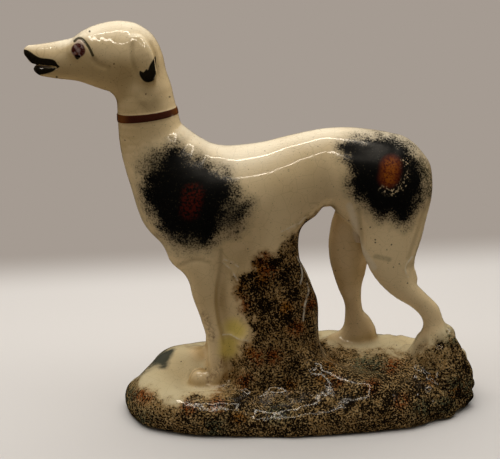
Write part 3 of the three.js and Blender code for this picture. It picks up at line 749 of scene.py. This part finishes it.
def marks(skin, sizes, rocks):
    """What is painted where: each mark as a distance inside its outline or to its line, in millimetres."""
    x, y, z = skin.points.T
    hidden = (1 - skin.seen_both) * TURNED_AWAY
    behind = smooth_step(-skin.facing, -0.1, 0.15)
    made = {"tail_root": np.maximum(inside_by(skin.flat_both, OUTLINES["tail_root"]), -FAR_MARK)}
    for name in ("muzzle", "eye_mark", "ear_tip", "shoulder_patch", "rump_patch", "sponged_stump"):
        made[name] = np.maximum(inside_by(skin.flat_both, OUTLINES[name]) - hidden, -FAR_MARK)
    # The sponging of the stump stays within 8 mm of its wood and clear of the legs.
    wood = np.min([limb(skin.points, name) for name in ("stump", "web", "rear_bark")], axis=0)
    made["sponged_stump"] = np.min([made["sponged_stump"], skin.to_legs - 1, 8 - wood], axis=0)
    # On the far side the mound is sponged up to a wavy edge about 24 mm high.
    mound_edge = inside_by(skin.flat, OUTLINES["sponged_mound"])
    far_edge = 24 - z + 4 * grain(skin.points, 18, 5)
    mound_edge = np.minimum(mound_edge + behind * (far_edge - mound_edge), skin.to_legs - 0.5)
    made["sponged_mound"] = np.where(skin.to_mound < 22, mound_edge, -FAR_MARK)
    made["dark_hump"] = inside_by(skin.flat, OUTLINES["dark_hump"]) - behind * 20
    made["collar"] = collar_band(skin.points, sizes)
    made["collar_end"] = np.minimum(np.abs(x - COLLAR_THROAT), np.abs(x - COLLAR_NAPE))
    for flat, table in ((skin.flat, NEAR_LINE_MARKS), (skin.flat_both, BOTH_LINE_MARKS)):
        for name, lines in table.items():
            made[name] = np.minimum(nearest_line(flat, lines) + hidden, FAR_MARK)
    for name in BOTH_SPOT_MARKS:
        made[name] = nearest_spot(skin.flat_both, name) + hidden
    for name in NEAR_SPOT_MARKS:
        made[name] = nearest_spot(skin.flat, name)
    # Yellow-green pooled glaze in the corner by the web, painted brighter than the glaze as painted light in
    # that shaded corner.
    made["pool"] = nearest_spot(skin.flat, "pool") + behind * TURNED_AWAY
    # Painted light: skin facing upwards, from about 55 to 90 mm high, is painted paler where the light from
    # above falls on it.
    made["topside"] = skin.out[:, 2] * smooth_step(z, 55, 90)
    # Painted shade: skin facing downwards on the head and neck, from 138 to 162 mm high, is painted browner.
    made["downside"] = smooth_step(-skin.out[:, 2], -0.3, 0.3) * smooth_step(z, 138, 162)
    made["ground"] = 3 - skin.to_mound
    # Painted shade: how far the rocky relief sinks, so that the dark sponging is denser in the dents.
    made["sunk"] = -rocks
    # Painted shade: how closed in the skin is within 6 and 16 mm, so that hollows and recesses are painted
    # browner, partly as pooled glaze and partly as shade.
    for name, depth in (("hollow", 6.0), ("deep_hollow", 16.0)):
        made[name] = np.clip(1 - figurine(skin.points + skin.out * depth) / depth, 0, 1)
    return made


def carve_and_mark(mesh, sizes):
    """Raises the small relief and stores each painted mark on the mesh."""
    skin = Skin(read_points(mesh))
    rocks = rocky_relief(skin, sizes)
    write_points(mesh, skin.points + skin.out * relief(skin, sizes, rocks)[:, None])
    for name, values in marks(skin, sizes, rocks).items():
        mark = mesh.attributes.new(name, "FLOAT", "POINT")
        mark.data.foreach_set("value", values.astype(np.float32))


# The nodes that the materials use most, and their settings.

MATH = "ShaderNodeMath"
MAP_RANGE = "ShaderNodeMapRange"
NOISE = "ShaderNodeTexNoise"
CELLS = "ShaderNodeTexVoronoi"
PLUS = {"operation": "ADD"}
TIMES = {"operation": "MULTIPLY"}
TIMES_PLUS = {"operation": "MULTIPLY_ADD"}
LARGER = {"operation": "MAXIMUM"}
SOFT = {"interpolation_type": "SMOOTHSTEP"}


def linear(code):
    """Linear red, green and blue of an sRGB hex colour."""
    levels = [int(code[i:i + 2], 16) / 255 for i in (1, 3, 5)]
    return tuple(c / 12.92 if c <= 0.04045 else ((c + 0.055) / 1.055) ** 2.4 for c in levels)


def add(tree, kind, settings=None, inputs=None):
    """Adds a node with its settings. An input takes a value, a socket, or a node's first output."""
    node = tree.nodes.new(kind)
    for name, value in (settings or {}).items():
        setattr(node, name, value)
    for name, value in (inputs or {}).items():
        if isinstance(value, bpy.types.Node):
            value = value.outputs[0]
        if isinstance(value, bpy.types.NodeSocket):
            tree.links.new(value, node.inputs[name])
        else:
            node.inputs[name].default_value = value
    return node


def span(low, high, first=0.0, last=1.0):
    """What a value between low and high turns into."""
    return {1: low, 2: high, 3: first, 4: last}


def mark_share(tree, name, low, high, clumps=None, reach=0.0, slope="SMOOTHSTEP"):
    """From 0 to 1 as a mark's value goes from low to high; clumps make its edge ragged by a reach in mm."""
    value = add(tree, "ShaderNodeAttribute", {"attribute_name": name}).outputs["Fac"]
    if clumps is not None:
        shift = add(tree, MATH, TIMES_PLUS, {0: clumps, 1: 2 * reach, 2: -reach})
        value = add(tree, MATH, PLUS, {0: value, 1: shift})
    limits = span(low, high) if low < high else span(high, low, 1.0, 0.0)
    return add(tree, MAP_RANGE, {"interpolation_type": slope}, {0: value, **limits})


def product(tree, *shares):
    """Where all the shares lie at once."""
    result = shares[0]
    for share in shares[1:]:
        result = add(tree, MATH, TIMES, {0: result, 1: share})
    return result


def dabs(tree, place, size, share, seed, softness=0.04, spread=0.46):
    """Sponge dabs of a size in millimetres that cover about a share of the surface."""
    shifted = add(tree, "ShaderNodeVectorMath", PLUS, {0: place, 1: (seed * 31.0, seed * 17.0, seed * 7.0)})
    grains = add(tree, NOISE, {"noise_dimensions": "3D"}, {
        "Vector": shifted, "Scale": 1 / size, "Detail": 2.0, "Roughness": 0.6,
    })
    more = add(tree, MATH, TIMES_PLUS, {0: share, 1: spread, 2: -spread / 2})
    level = add(tree, MATH, PLUS, {0: grains, 1: more})
    return add(tree, MAP_RANGE, SOFT, {0: level, **span(0.5 - softness, 0.5 + softness)})


def earthenware(colours, finish):
    """Lead-glazed earthenware: an ivory body under clear glaze with sponged and brushed colours.
    The eye sees a warm cream with soft wet highlights, browner where the glaze pools in hollows, with
    painted shade in hollows and under the head and painted light on the tops."""
    material = bpy.data.materials.new("glazed_earthenware")
    material.use_nodes = True
    tree = material.node_tree
    tree.nodes.clear()
    own_place = add(tree, "ShaderNodeTexCoord").outputs["Object"]
    place = add(tree, "ShaderNodeVectorMath", {"operation": "SCALE"}, {0: own_place, "Scale": 1 / MM})
    mark = partial(mark_share, tree)
    sponge = partial(dabs, tree, place)
    where = partial(product, tree)

    # Clouds 28 mm across in the glaze, mottling of 6 mm, clumps of sponge dabs of 5.5 mm.
    cloud = add(tree, NOISE, {}, {"Vector": place, "Scale": 1 / 28, "Detail": 2.0})
    mottle = add(tree, NOISE, {}, {"Vector": place, "Scale": 1 / 6, "Detail": 4.0})
    clumps = add(tree, NOISE, {}, {"Vector": place, "Scale": 1 / 5.5, "Detail": 2.0})
    # Crazing in cells of 8 mm: the real cracks are hairlines, so they are drawn 0.3 mm wide to show.
    cells = add(tree, CELLS, {"feature": "DISTANCE_TO_EDGE"}, {"Vector": place, "Scale": 1 / 8})
    crack_dirt_and_shade = add(tree, MAP_RANGE, {}, {0: cells, **span(0.0, 0.02, 1.0, 0.0)})
    # Pinholes 0.4 mm in radius, about one in every 14 mm.
    specks = add(tree, CELLS, {"feature": "F1"}, {"Vector": place, "Scale": 1 / 14})
    speck = add(tree, MAP_RANGE, {}, {0: specks, **span(0.02, 0.035, 1.0, 0.0)})

    on_mound = mark("sponged_mound", -4.0, 5.0, clumps, 7.0)
    on_stump = mark("sponged_stump", -3.0, 5.0, clumps, 6.0)
    sponged = add(tree, MATH, LARGER, {0: on_mound, 1: on_stump})
    patches = []
    for outer, shoulder_inner, rump_inner, reach in ((-5.0, 6.0, 5.5, 5.0), (-6.5, 5.0, 5.0, 4.0)):
        shoulder = mark("shoulder_patch", outer, shoulder_inner, clumps, reach, "LINEAR")
        rump = mark("rump_patch", outer, rump_inner, clumps, reach, "LINEAR")
        patches.append(add(tree, MATH, LARGER, {0: shoulder, 1: rump}))
    patch, smoke = patches
    thinned = where(patch, mark("shoulder_thin", 10.0, 2.0))
    patch_cover = add(tree, MATH, TIMES_PLUS, {0: thinned, 1: -0.4, 2: patch})

    # How densely the dark sponging covers stump and mound: a base, and more or less of it in places.
    deep = mark("sponged_mound", 2.0, 16.0)
    denser_places = [
        (deep, 0.2),
        (on_stump, 0.16),
        (where(deep, on_stump), -0.26),
        (add(tree, MAP_RANGE, SOFT, {0: clumps, **span(0.32, 0.68)}), 0.19),
        (mark("dark", 7.0, 1.0), 0.26),
        # Painted shade: denser dark sponging where the rock relief sinks.
        (mark("sunk", 0.3, 1.3), 0.24),
    ]
    dense = add(tree, MATH, TIMES, {0: sponged, 1: 0.31})
    for share, more in denser_places:
        dense = add(tree, MATH, TIMES_PLUS, {0: where(sponged, share), 1: more, 2: dense})

    # Each layer of colour from the body outwards: where it lies, its strength, its colour.
    # A sponge prints dabs of 1 to 2 mm; the finest, 0.9 mm, are as fine as the render can show.
    stains = sponge(1.4, 0.4, 9, 0.2)
    foot_stains = sponge(1.4, 0.4, 8, 0.2)
    browns = sponge(1.5, sponged, 1, 0.16, 0.1)
    layers = [
        # Pooled glaze and painted shade in hollows and recesses, narrow and wide.
        (mark("hollow", 0.05, 0.8), 0.55, "pooled_glaze_and_shade"),
        (mark("deep_hollow", 0.1, 0.9), 0.35, "pooled_glaze_and_shade"),
        # Painted light on the tops.
        (mark("topside", 0.25, 0.95), 0.75, "thin_glaze_and_highlight"),
        # Painted shade under the head and neck.
        (mark("downside", 0.0, 1.0), 0.6, "pooled_glaze_and_shade"),
        (mark("ground", 0.0, 3.0), 0.9, "ground_cream"),
        # Yellow-green pooled glaze, painted brighter as painted light in the shaded corner.
        (mark("pool", 9.0, 1.0), 0.8, "green_glaze_and_light"),
        (add(tree, MAP_RANGE, {}, {0: cloud, **span(0.45, 0.7)}), 0.25, "pooled_glaze_and_shade"),
        # Pooled glaze and painted shade in the grooves.
        (mark("groove", 2.0, 0.0), 0.34, "crack_dirt_and_shade"),
        # Painted shade round the bump at the neck.
        (where(mark("neck_shade", 8.0, 1.0), mottle), 0.75, "crack_dirt_and_shade"),
        (where(crack_dirt_and_shade, cloud), 0.42, "crack_dirt_and_shade"),
        (speck, 0.8, "pit"),
        (mark("pits", 0.75, 0.35), 0.85, "pit"),
        (where(mark("smear", 2.2, 0.5), mottle), 0.8, "grey_sponge"),
        (where(stains, mark("stain", 3.6, 0.3)), 0.7, "rust_brown"),
        (where(foot_stains, mark("foot_stain", 4.5, 0.5)), 0.7, "rust_brown"),
        (sponged, 0.7, "sponge_ground"),
        (on_stump, 0.35, "sponge_umber"),
        (where(sponged, browns), 0.75, "sponge_umber"),
        (where(sponged, mark("ochre", 7.0, 1.0), sponge(2.0, 0.6, 2)), 0.9, "ochre"),
        (where(sponged, mark("green", 12.0, 2.0), sponge(2.0, 0.55, 3)), 0.8, "blue_green"),
        (where(sponged, mark("rust", 8.0, 1.0), sponge(2.2, 0.6, 4)), 0.9, "rust"),
        (sponge(0.9, dense, 5, 0.08), 0.98, "brown_black"),
        (mark("dark_hump", -2.0, 2.0, clumps, 3.0), 0.92, "blue_green_dark"),
        # Painted highlights along the raised folds, partly thin glaze.
        (where(mark("fold", 0.8, 0.1), sponge(3.0, 0.55, 16, 0.2)), 0.75, "thin_glaze_and_highlight"),
        # Painted highlight along the front edge of the thigh.
        (mark("thigh_band", 3.0, 0.4), 0.5, "thin_glaze_and_highlight"),
        (smoke, 0.7, "olive_black"),
        (sponge(0.9, patch_cover, 7, 0.2, 0.6), 0.99, "blue_black"),
        (where(mark("tail_root", -3.0, 1.0), sponge(1.1, 0.58, 11, 0.12)), 0.85, "olive_black"),
        (where(mark("shoulder_red", 8.0, 3.0), sponge(1.3, 0.5, 12, 0.1)), 0.9, "dark_red"),
        (where(mark("rump_flecks", 4.5, 1.0), sponge(1.2, 0.3, 15)), 0.8, "cream"),
        (mark("rump_rust", 8.0, 4.0), 0.85, "dark_red"),
        (where(mark("rump_rust", 7.0, 1.5), sponge(1.2, 0.55, 13, 0.12)), 0.8, "rust_orange"),
        (mark("lilac", 3.6, 1.6), 0.6, "lilac"),
        (mark("eye", 4.0, 3.2), 0.8, "maroon"),
        (where(mark("eye", 3.9, 3.0), sponge(1.7, 0.75, 14, 0.1)), 0.9, "dark_maroon"),
        (where(mark("eye", 3.9, 3.4), sponge(1.5, 0.3, 17, 0.1)), 0.6, "lilac"),
        (mark("eye", 1.7, 0.4), 0.55, "lilac"),
        (mark("eye_mark", -0.25, 0.25), 0.95, "brown_black"),
        (mark("brow", 0.95, 0.45), 0.92, "olive_black"),
        (mark("muzzle", -0.3, 0.3), 0.98, "black"),
        (mark("mouth", 0.45, 0.2), 0.5, "lilac"),
        (mark("mouth_red", 0.7, 0.4), 0.8, "rust_brown"),
        (mark("ear_tip", -0.3, 0.3), 0.98, "black"),
        (mark("collar", -0.15, 0.15), 0.97, "collar"),
        (where(mark("collar", -0.1, 0.2), mark("collar_end", 8.0, 2.0)), 0.8, "collar_end"),
    ]
    paint = (*colours.cream, 1)
    for share, strength, name in layers:
        part = add(tree, MATH, TIMES, {0: share, 1: strength})
        over = (*getattr(colours, name), 1)
        paint = add(tree, "ShaderNodeMix", {"data_type": "RGBA"}, {0: part, 6: paint, 7: over}).outputs[2]

    # The glaze waves softly every 9 mm, and sponged colour stands a little proud.
    waves = add(tree, NOISE, {}, {"Vector": place, "Scale": 1 / 9, "Detail": 1.0})
    height = add(tree, MATH, TIMES, {0: waves, 1: finish.glaze_wave})
    height = add(tree, MATH, TIMES_PLUS, {0: where(sponged, mottle), 1: finish.sponge_wave, 2: height})
    bump = add(tree, "ShaderNodeBump", {}, {"Strength": 1.0, "Distance": 1.0, "Height": height})
    rough = add(tree, MAP_RANGE, {}, {0: mottle, **span(0.3, 0.7, finish.gloss, finish.gloss + 0.05)})
    for share, more in ((patch, finish.patch_dullness), (sponged, finish.ground_dullness)):
        rough = add(tree, MATH, TIMES_PLUS, {0: share, 1: more, 2: rough})
    shine = 0.5
    for share, more in ((patch, -0.36), (sponged, -0.22)):
        shine = add(tree, MATH, TIMES_PLUS, {0: share, 1: more, 2: shine})
    shader = add(tree, "ShaderNodeBsdfPrincipled", {}, {
        "Base Color": paint, "Roughness": rough, "IOR": 1.55, "Specular IOR Level": shine, "Normal": bump,
    })
    add(tree, "ShaderNodeOutputMaterial", {}, {"Surface": shader})
    return material


def plain_paper(settings):
    """Matt paper: pale on the floor, an even grey towards the back, where it is lit by itself."""
    material = bpy.data.materials.new("matt_paper")
    material.use_nodes = True
    tree = material.node_tree
    tree.nodes.clear()
    place = add(tree, "ShaderNodeTexCoord").outputs["Object"]
    back = add(tree, "ShaderNodeSeparateXYZ", {}, {0: place}).outputs["Y"]
    share = add(tree, MAP_RANGE, SOFT, {0: back, **span(settings.sweep_start, settings.sweep_end)})
    shader = add(tree, "ShaderNodeBsdfPrincipled", {}, {
        "Base Color": (*settings.floor_colour, 1), "Roughness": 0.9, "Specular IOR Level": 0.1,
    })
    glow = add(tree, "ShaderNodeEmission", {}, {
        "Color": (*settings.back_colour, 1), "Strength": settings.back_light,
    })
    either = add(tree, "ShaderNodeMixShader", {}, {0: share, 1: shader, 2: glow})
    add(tree, "ShaderNodeOutputMaterial", {}, {"Surface": either})
    return material


# The stage. The paper and its curve are in metres.

PAPER_WIDTH = 2.8
CURVE_RADIUS = 0.5
WALL_HEIGHT = 1.2
# The oblong of light strips in millimetres: near and far edge, half width, height, width of a strip.
STRIPS_NEAR = -90
STRIPS_FAR = -700
STRIPS_SIDE = 250
STRIPS_HEIGHT = 650
STRIP_WIDTH = 26
# The camera: place in millimetres, turned aside, down and over in degrees, lens and film in millimetres.
CAMERA_PLACE = (-80.58, -540.53, 274.10)
CAMERA_TURN = (-5.469, 17.257, -0.863)
CAMERA_LENS = 74.01
FILM_WIDTH = 36


def add_paper(name, paper):
    """A flat sheet of paper on the ground."""
    bpy.ops.object.select_all(action="DESELECT")
    bpy.ops.mesh.primitive_plane_add(size=PAPER_WIDTH, location=(0, 0, 0))
    sheet = bpy.context.object
    sheet.name = name
    sheet.visible_glossy = False
    sheet.data.materials.append(paper)
    return sheet


def lay_paper(settings):
    """The paper: a floor that curves up to a wall, and its near end."""
    paper = plain_paper(settings)
    front = settings.floor_front
    sweep = add_paper("paper_sweep", paper)
    for corner in sweep.data.vertices:
        corner.co.y = max(corner.co.y, front)
    bpy.ops.object.mode_set(mode="EDIT")
    bpy.ops.mesh.select_mode(type="EDGE")
    bpy.ops.mesh.select_all(action="DESELECT")
    bpy.ops.object.mode_set(mode="OBJECT")
    for edge in sweep.data.edges:
        edge.select = all(sweep.data.vertices[i].co.y > 0.4 * PAPER_WIDTH for i in edge.vertices)
    bpy.ops.object.mode_set(mode="EDIT")
    middle = (0, PAPER_WIDTH / 2, CURVE_RADIUS)
    bpy.ops.mesh.spin(steps=16, angle=math.radians(-90), center=middle, axis=(1, 0, 0))
    bpy.ops.mesh.extrude_edges_move(TRANSFORM_OT_translate={"value": (0, 0, WALL_HEIGHT)})
    bpy.ops.mesh.select_all(action="DESELECT")
    bpy.ops.object.mode_set(mode="OBJECT")
    bpy.ops.object.shade_smooth()
    # The near end of the paper lies in the dark of the room and throws no light back.
    near_paper = add_paper("near_paper", paper)
    near_paper.visible_diffuse = False
    for corner in near_paper.data.vertices:
        corner.co.y = front if corner.co.y > 0 else front - PAPER_WIDTH


def area_light(name, place, size, power):
    """A rectangle of light that faces down; place and size in millimetres."""
    lamp = bpy.data.lights.new(name, "AREA")
    lamp.shape = "RECTANGLE"
    lamp.size = size[0] * MM
    lamp.size_y = size[1] * MM
    lamp.energy = power
    thing = bpy.data.objects.new(name, lamp)
    thing.location = Vector(place) * MM
    bpy.context.scene.collection.objects.link(thing)
    return thing


def hang_lights(settings):
    """A soft roof for the light, and strips round it for nothing but their bright outline in the glaze."""
    world = bpy.data.worlds.new("tent_air")
    world.use_nodes = True
    background = world.node_tree.nodes["Background"]
    background.inputs["Color"].default_value = (*settings.air_colour, 1)
    background.inputs["Strength"].default_value = settings.air_strength
    world.cycles_visibility.glossy = False
    bpy.context.scene.world = world
    roof = area_light("roof", (-60, settings.roof_place / MM, 700), (1100, 700), settings.roof_power)
    roof.visible_glossy = False
    along, across = (2 * STRIPS_SIDE, STRIP_WIDTH), (STRIP_WIDTH, STRIPS_NEAR - STRIPS_FAR)
    middle = (STRIPS_NEAR + STRIPS_FAR) / 2
    strips = [
        ("strip_over", 0, STRIPS_NEAR, along),
        ("strip_front", 0, STRIPS_FAR, along),
        ("strip_left", -STRIPS_SIDE, middle, across),
        ("strip_right", STRIPS_SIDE, middle, across),
    ]
    for name, x, y, size in strips:
        strip = area_light(name, (x, y, STRIPS_HEIGHT), size, settings.strip_power * max(size) * MM)
        strip.visible_diffuse = False
        strip.data.color = settings.strip_colour


def place_camera():
    """The camera: a little above the dog's head, looking slightly down."""
    lens = bpy.data.cameras.new("camera")
    lens.lens = CAMERA_LENS
    lens.sensor_width = FILM_WIDTH
    lens.sensor_fit = "HORIZONTAL"
    lens.clip_start = 0.01
    camera = bpy.data.objects.new("camera", lens)
    yaw, pitch, roll = (math.radians(angle) for angle in CAMERA_TURN)
    back = Vector((math.sin(yaw) * math.cos(pitch), -math.cos(yaw) * math.cos(pitch), math.sin(pitch)))
    camera.rotation_mode = "QUATERNION"
    level = (-back).to_track_quat("-Z", "Y")
    camera.rotation_quaternion = level @ Matrix.Rotation(roll, 4, "Z").to_quaternion()
    camera.location = Vector(CAMERA_PLACE) * MM
    scene = bpy.context.scene
    scene.collection.objects.link(camera)
    scene.camera = camera
    scene.view_settings.view_transform = "Standard"


# What a user would change.

def colour_setting(name, description, code):
    """A colour, given as an sRGB hex code."""
    return FloatVectorProperty(
        name=name, description=description, subtype="COLOR", size=3, min=0, max=1, default=linear(code),
    )


def length_setting(name, description, default, low=0.0, high=1000.0):
    """A length, given in millimetres and kept in metres."""
    return FloatProperty(
        name=name, description=description, default=default * MM, min=low * MM, max=high * MM,
        unit="LENGTH", precision=5,
    )


def share_setting(name, description, default):
    """A share from 0 to 1."""
    return FloatProperty(name=name, description=description, default=default, min=0, max=1, subtype="FACTOR")


class GREYHOUND_PG_sizes(bpy.types.PropertyGroup):
    face_size: length_setting("Face size", "Edge length of the skin's faces", 1.56, 0.8, 6)
    collar_width: length_setting("Collar width", "Width of the collar band in front", 4.3, 1, 12)
    collar_height: length_setting("Collar height", "How far the collar stands proud", 0.5, 0, 2)
    rock_height: length_setting("Rock relief", "Height of the mound's lumps", 0.5, 0, 2)
    ridge_height: length_setting("Ridge relief", "Height of the ridges at the mound's end", 4.4, 0, 8)
    hand_finish: length_setting("Hand finish", "Unevenness of the pressed skin", 0.25, 0, 1)


class GREYHOUND_PG_colours(bpy.types.PropertyGroup):
    cream: colour_setting("Cream", "Ivory body under clear glaze", "#E7CB9B")
    # Paler glaze, also used as painted light on the tops and painted highlights on folds and thigh.
    thin_glaze_and_highlight: colour_setting("Thin glaze", "Paler glaze where it has run off the tops", "#ECDFC5")
    # Browner pooled glaze, also used as painted shade in hollows, recesses and under the head.
    pooled_glaze_and_shade: colour_setting("Pooled glaze", "Browner glaze in hollows", "#B08D52")
    ground_cream: colour_setting("Ground cream", "Duller bare glaze on the mound", "#D0BF96")
    # Yellow-green glaze, painted brighter than its own colour as painted light in the shaded corner.
    green_glaze_and_light: colour_setting("Green glaze", "Yellow-green glaze in deep corners", "#E6CC60")
    # Dirt in the crazing, also used as painted shade in the grooves and round the neck bump.
    crack_dirt_and_shade: colour_setting("Crazing", "Dirt in the fine cracks", "#8A6F45")
    pit: colour_setting("Pits", "Dark pinholes in the glaze", "#2A1C10")
    sponge_ground: colour_setting("Sponge ground", "Thin wash under the sponging", "#B08C55")
    sponge_umber: colour_setting("Sponge umber", "Brown sponging under the dark", "#6B4A1C")
    ochre: colour_setting("Ochre", "Ochre sponging", "#8A5518")
    rust: colour_setting("Rust", "Rust sponging on the ground", "#8A4416")
    rust_brown: colour_setting("Rust brown", "Brown stains on the leg", "#6E4426")
    rust_orange: colour_setting("Rust orange", "Middle of the rump patch", "#9A5210")
    blue_green: colour_setting("Blue green", "Blue-green sponging", "#4F5A44")
    blue_green_dark: colour_setting("Dark blue green", "Hump behind the forefoot", "#252E2B")
    brown_black: colour_setting("Brown black", "Dark sponging on the ground", "#090402")
    blue_black: colour_setting("Blue black", "Sponged patches on the dog", "#060708")
    olive_black: colour_setting("Olive black", "Thin dark lines and specks", "#2E2A18")
    grey_sponge: colour_setting("Grey smear", "Faint smear on the thigh", "#5C523C")
    dark_red: colour_setting("Dark red", "Middle of the shoulder patch", "#52180C")
    lilac: colour_setting("Lilac", "Pale paint round the eye", "#C0A79C")
    maroon: colour_setting("Maroon", "Ring of the eye", "#6A1420")
    dark_maroon: colour_setting("Dark maroon", "Strokes in the ring of the eye", "#3C0509")
    black: colour_setting("Black", "Muzzle and ear tip", "#080706")
    collar: colour_setting("Collar", "Dark red-brown collar", "#3A0704")
    collar_end: colour_setting("Collar ends", "Lighter brown at both ends of the collar", "#7A4820")


class GREYHOUND_PG_finish(bpy.types.PropertyGroup):
    gloss: share_setting("Roughness", "Roughness of the clear glaze", 0.05)
    ground_dullness: share_setting("Ground dullness", "Extra roughness of the sponged stump and mound", 0.02)
    patch_dullness: share_setting("Patch dullness", "Extra roughness where the dog is sponged", 0.22)
    glaze_wave: length_setting("Glaze wave", "Height of the waves in the glaze", 0.12, 0, 1)
    sponge_wave: length_setting("Sponge wave", "Height of the sponged dabs", 0.3, 0, 1)


class GREYHOUND_PG_stage(bpy.types.PropertyGroup):
    floor_colour: colour_setting("Floor", "Pale paper under the figurine", "#D2CCC5")
    back_colour: colour_setting("Back", "Greyer paper behind it", "#A59B92")
    strip_colour: colour_setting("Strips", "Warm white of the light strips", "#FFF3E0")
    air_colour: colour_setting("Air", "Colour of the soft light from all round", "#F2EDE6")
    air_strength: share_setting("Air strength", "Strength of the light from all round", 0.14)
    back_light: share_setting("Back light", "How brightly the far paper is lit by itself", 1.0)
    roof_power: FloatProperty(
        name="Roof power", description="Power of the soft roof", default=7.8, min=0, unit="POWER",
    )
    strip_power: FloatProperty(
        name="Strip power", description="Power of each metre of strip", default=1.7, min=0, unit="POWER",
    )
    roof_place: length_setting("Roof place", "How far back the roof's middle is", 90, -1000)
    floor_front: length_setting("Floor front", "Where the lit paper ends in front", -130, -2000, 0)
    sweep_start: length_setting("Sweep start", "Where the paper starts to darken", 196)
    sweep_end: length_setting("Sweep end", "Where the paper is darkest", 300)


class GREYHOUND_OT_figurine(bpy.types.Operator):
    """Models, carves and glazes the figurine: dog, stump and mound in one piece over the solid"""

    bl_idname = "greyhound.figurine"
    bl_label = "Make the figurine"

    def execute(self, context):
        scene = context.scene
        body = make_body(scene.greyhound_sizes)
        carve_and_mark(body.data, scene.greyhound_sizes)
        body.data.materials.append(earthenware(scene.greyhound_colours, scene.greyhound_finish))
        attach(body, BODY)
        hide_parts(NODE)
        return {"FINISHED"}


class GREYHOUND_OT_stage(bpy.types.Operator):
    """Sets up the paper, the soft lights and the camera"""

    bl_idname = "greyhound.stage"
    bl_label = "Set the stage"

    def execute(self, context):
        settings = context.scene.greyhound_stage
        lay_paper(settings)
        hang_lights(settings)
        place_camera()
        return {"FINISHED"}


class GREYHOUND_PT_panel(bpy.types.Panel):
    """Lists the steps in the sidebar"""

    bl_label = "Greyhound Figurine"
    bl_idname = "GREYHOUND_PT_panel"
    bl_space_type = "VIEW_3D"
    bl_region_type = "UI"
    bl_category = "Greyhound"

    def draw(self, context):
        for operator in OPERATORS:
            self.layout.operator(operator.bl_idname)


GROUPS = {
    "greyhound_sizes": GREYHOUND_PG_sizes,
    "greyhound_colours": GREYHOUND_PG_colours,
    "greyhound_finish": GREYHOUND_PG_finish,
    "greyhound_stage": GREYHOUND_PG_stage,
}
OPERATORS = (GREYHOUND_OT_figurine, GREYHOUND_OT_stage)
CLASSES = (*GROUPS.values(), *OPERATORS, GREYHOUND_PT_panel)


def register():
    for each in CLASSES:
        bpy.utils.register_class(each)
    for name, group in GROUPS.items():
        setattr(bpy.types.Scene, name, PointerProperty(type=group))


def unregister():
    for name in GROUPS:
        delattr(bpy.types.Scene, name)
    for each in reversed(CLASSES):
        bpy.utils.unregister_class(each)


def main():
    register()
    bpy.ops.greyhound.figurine()
    bpy.ops.greyhound.stage()


if __name__ == "__main__":
    main()
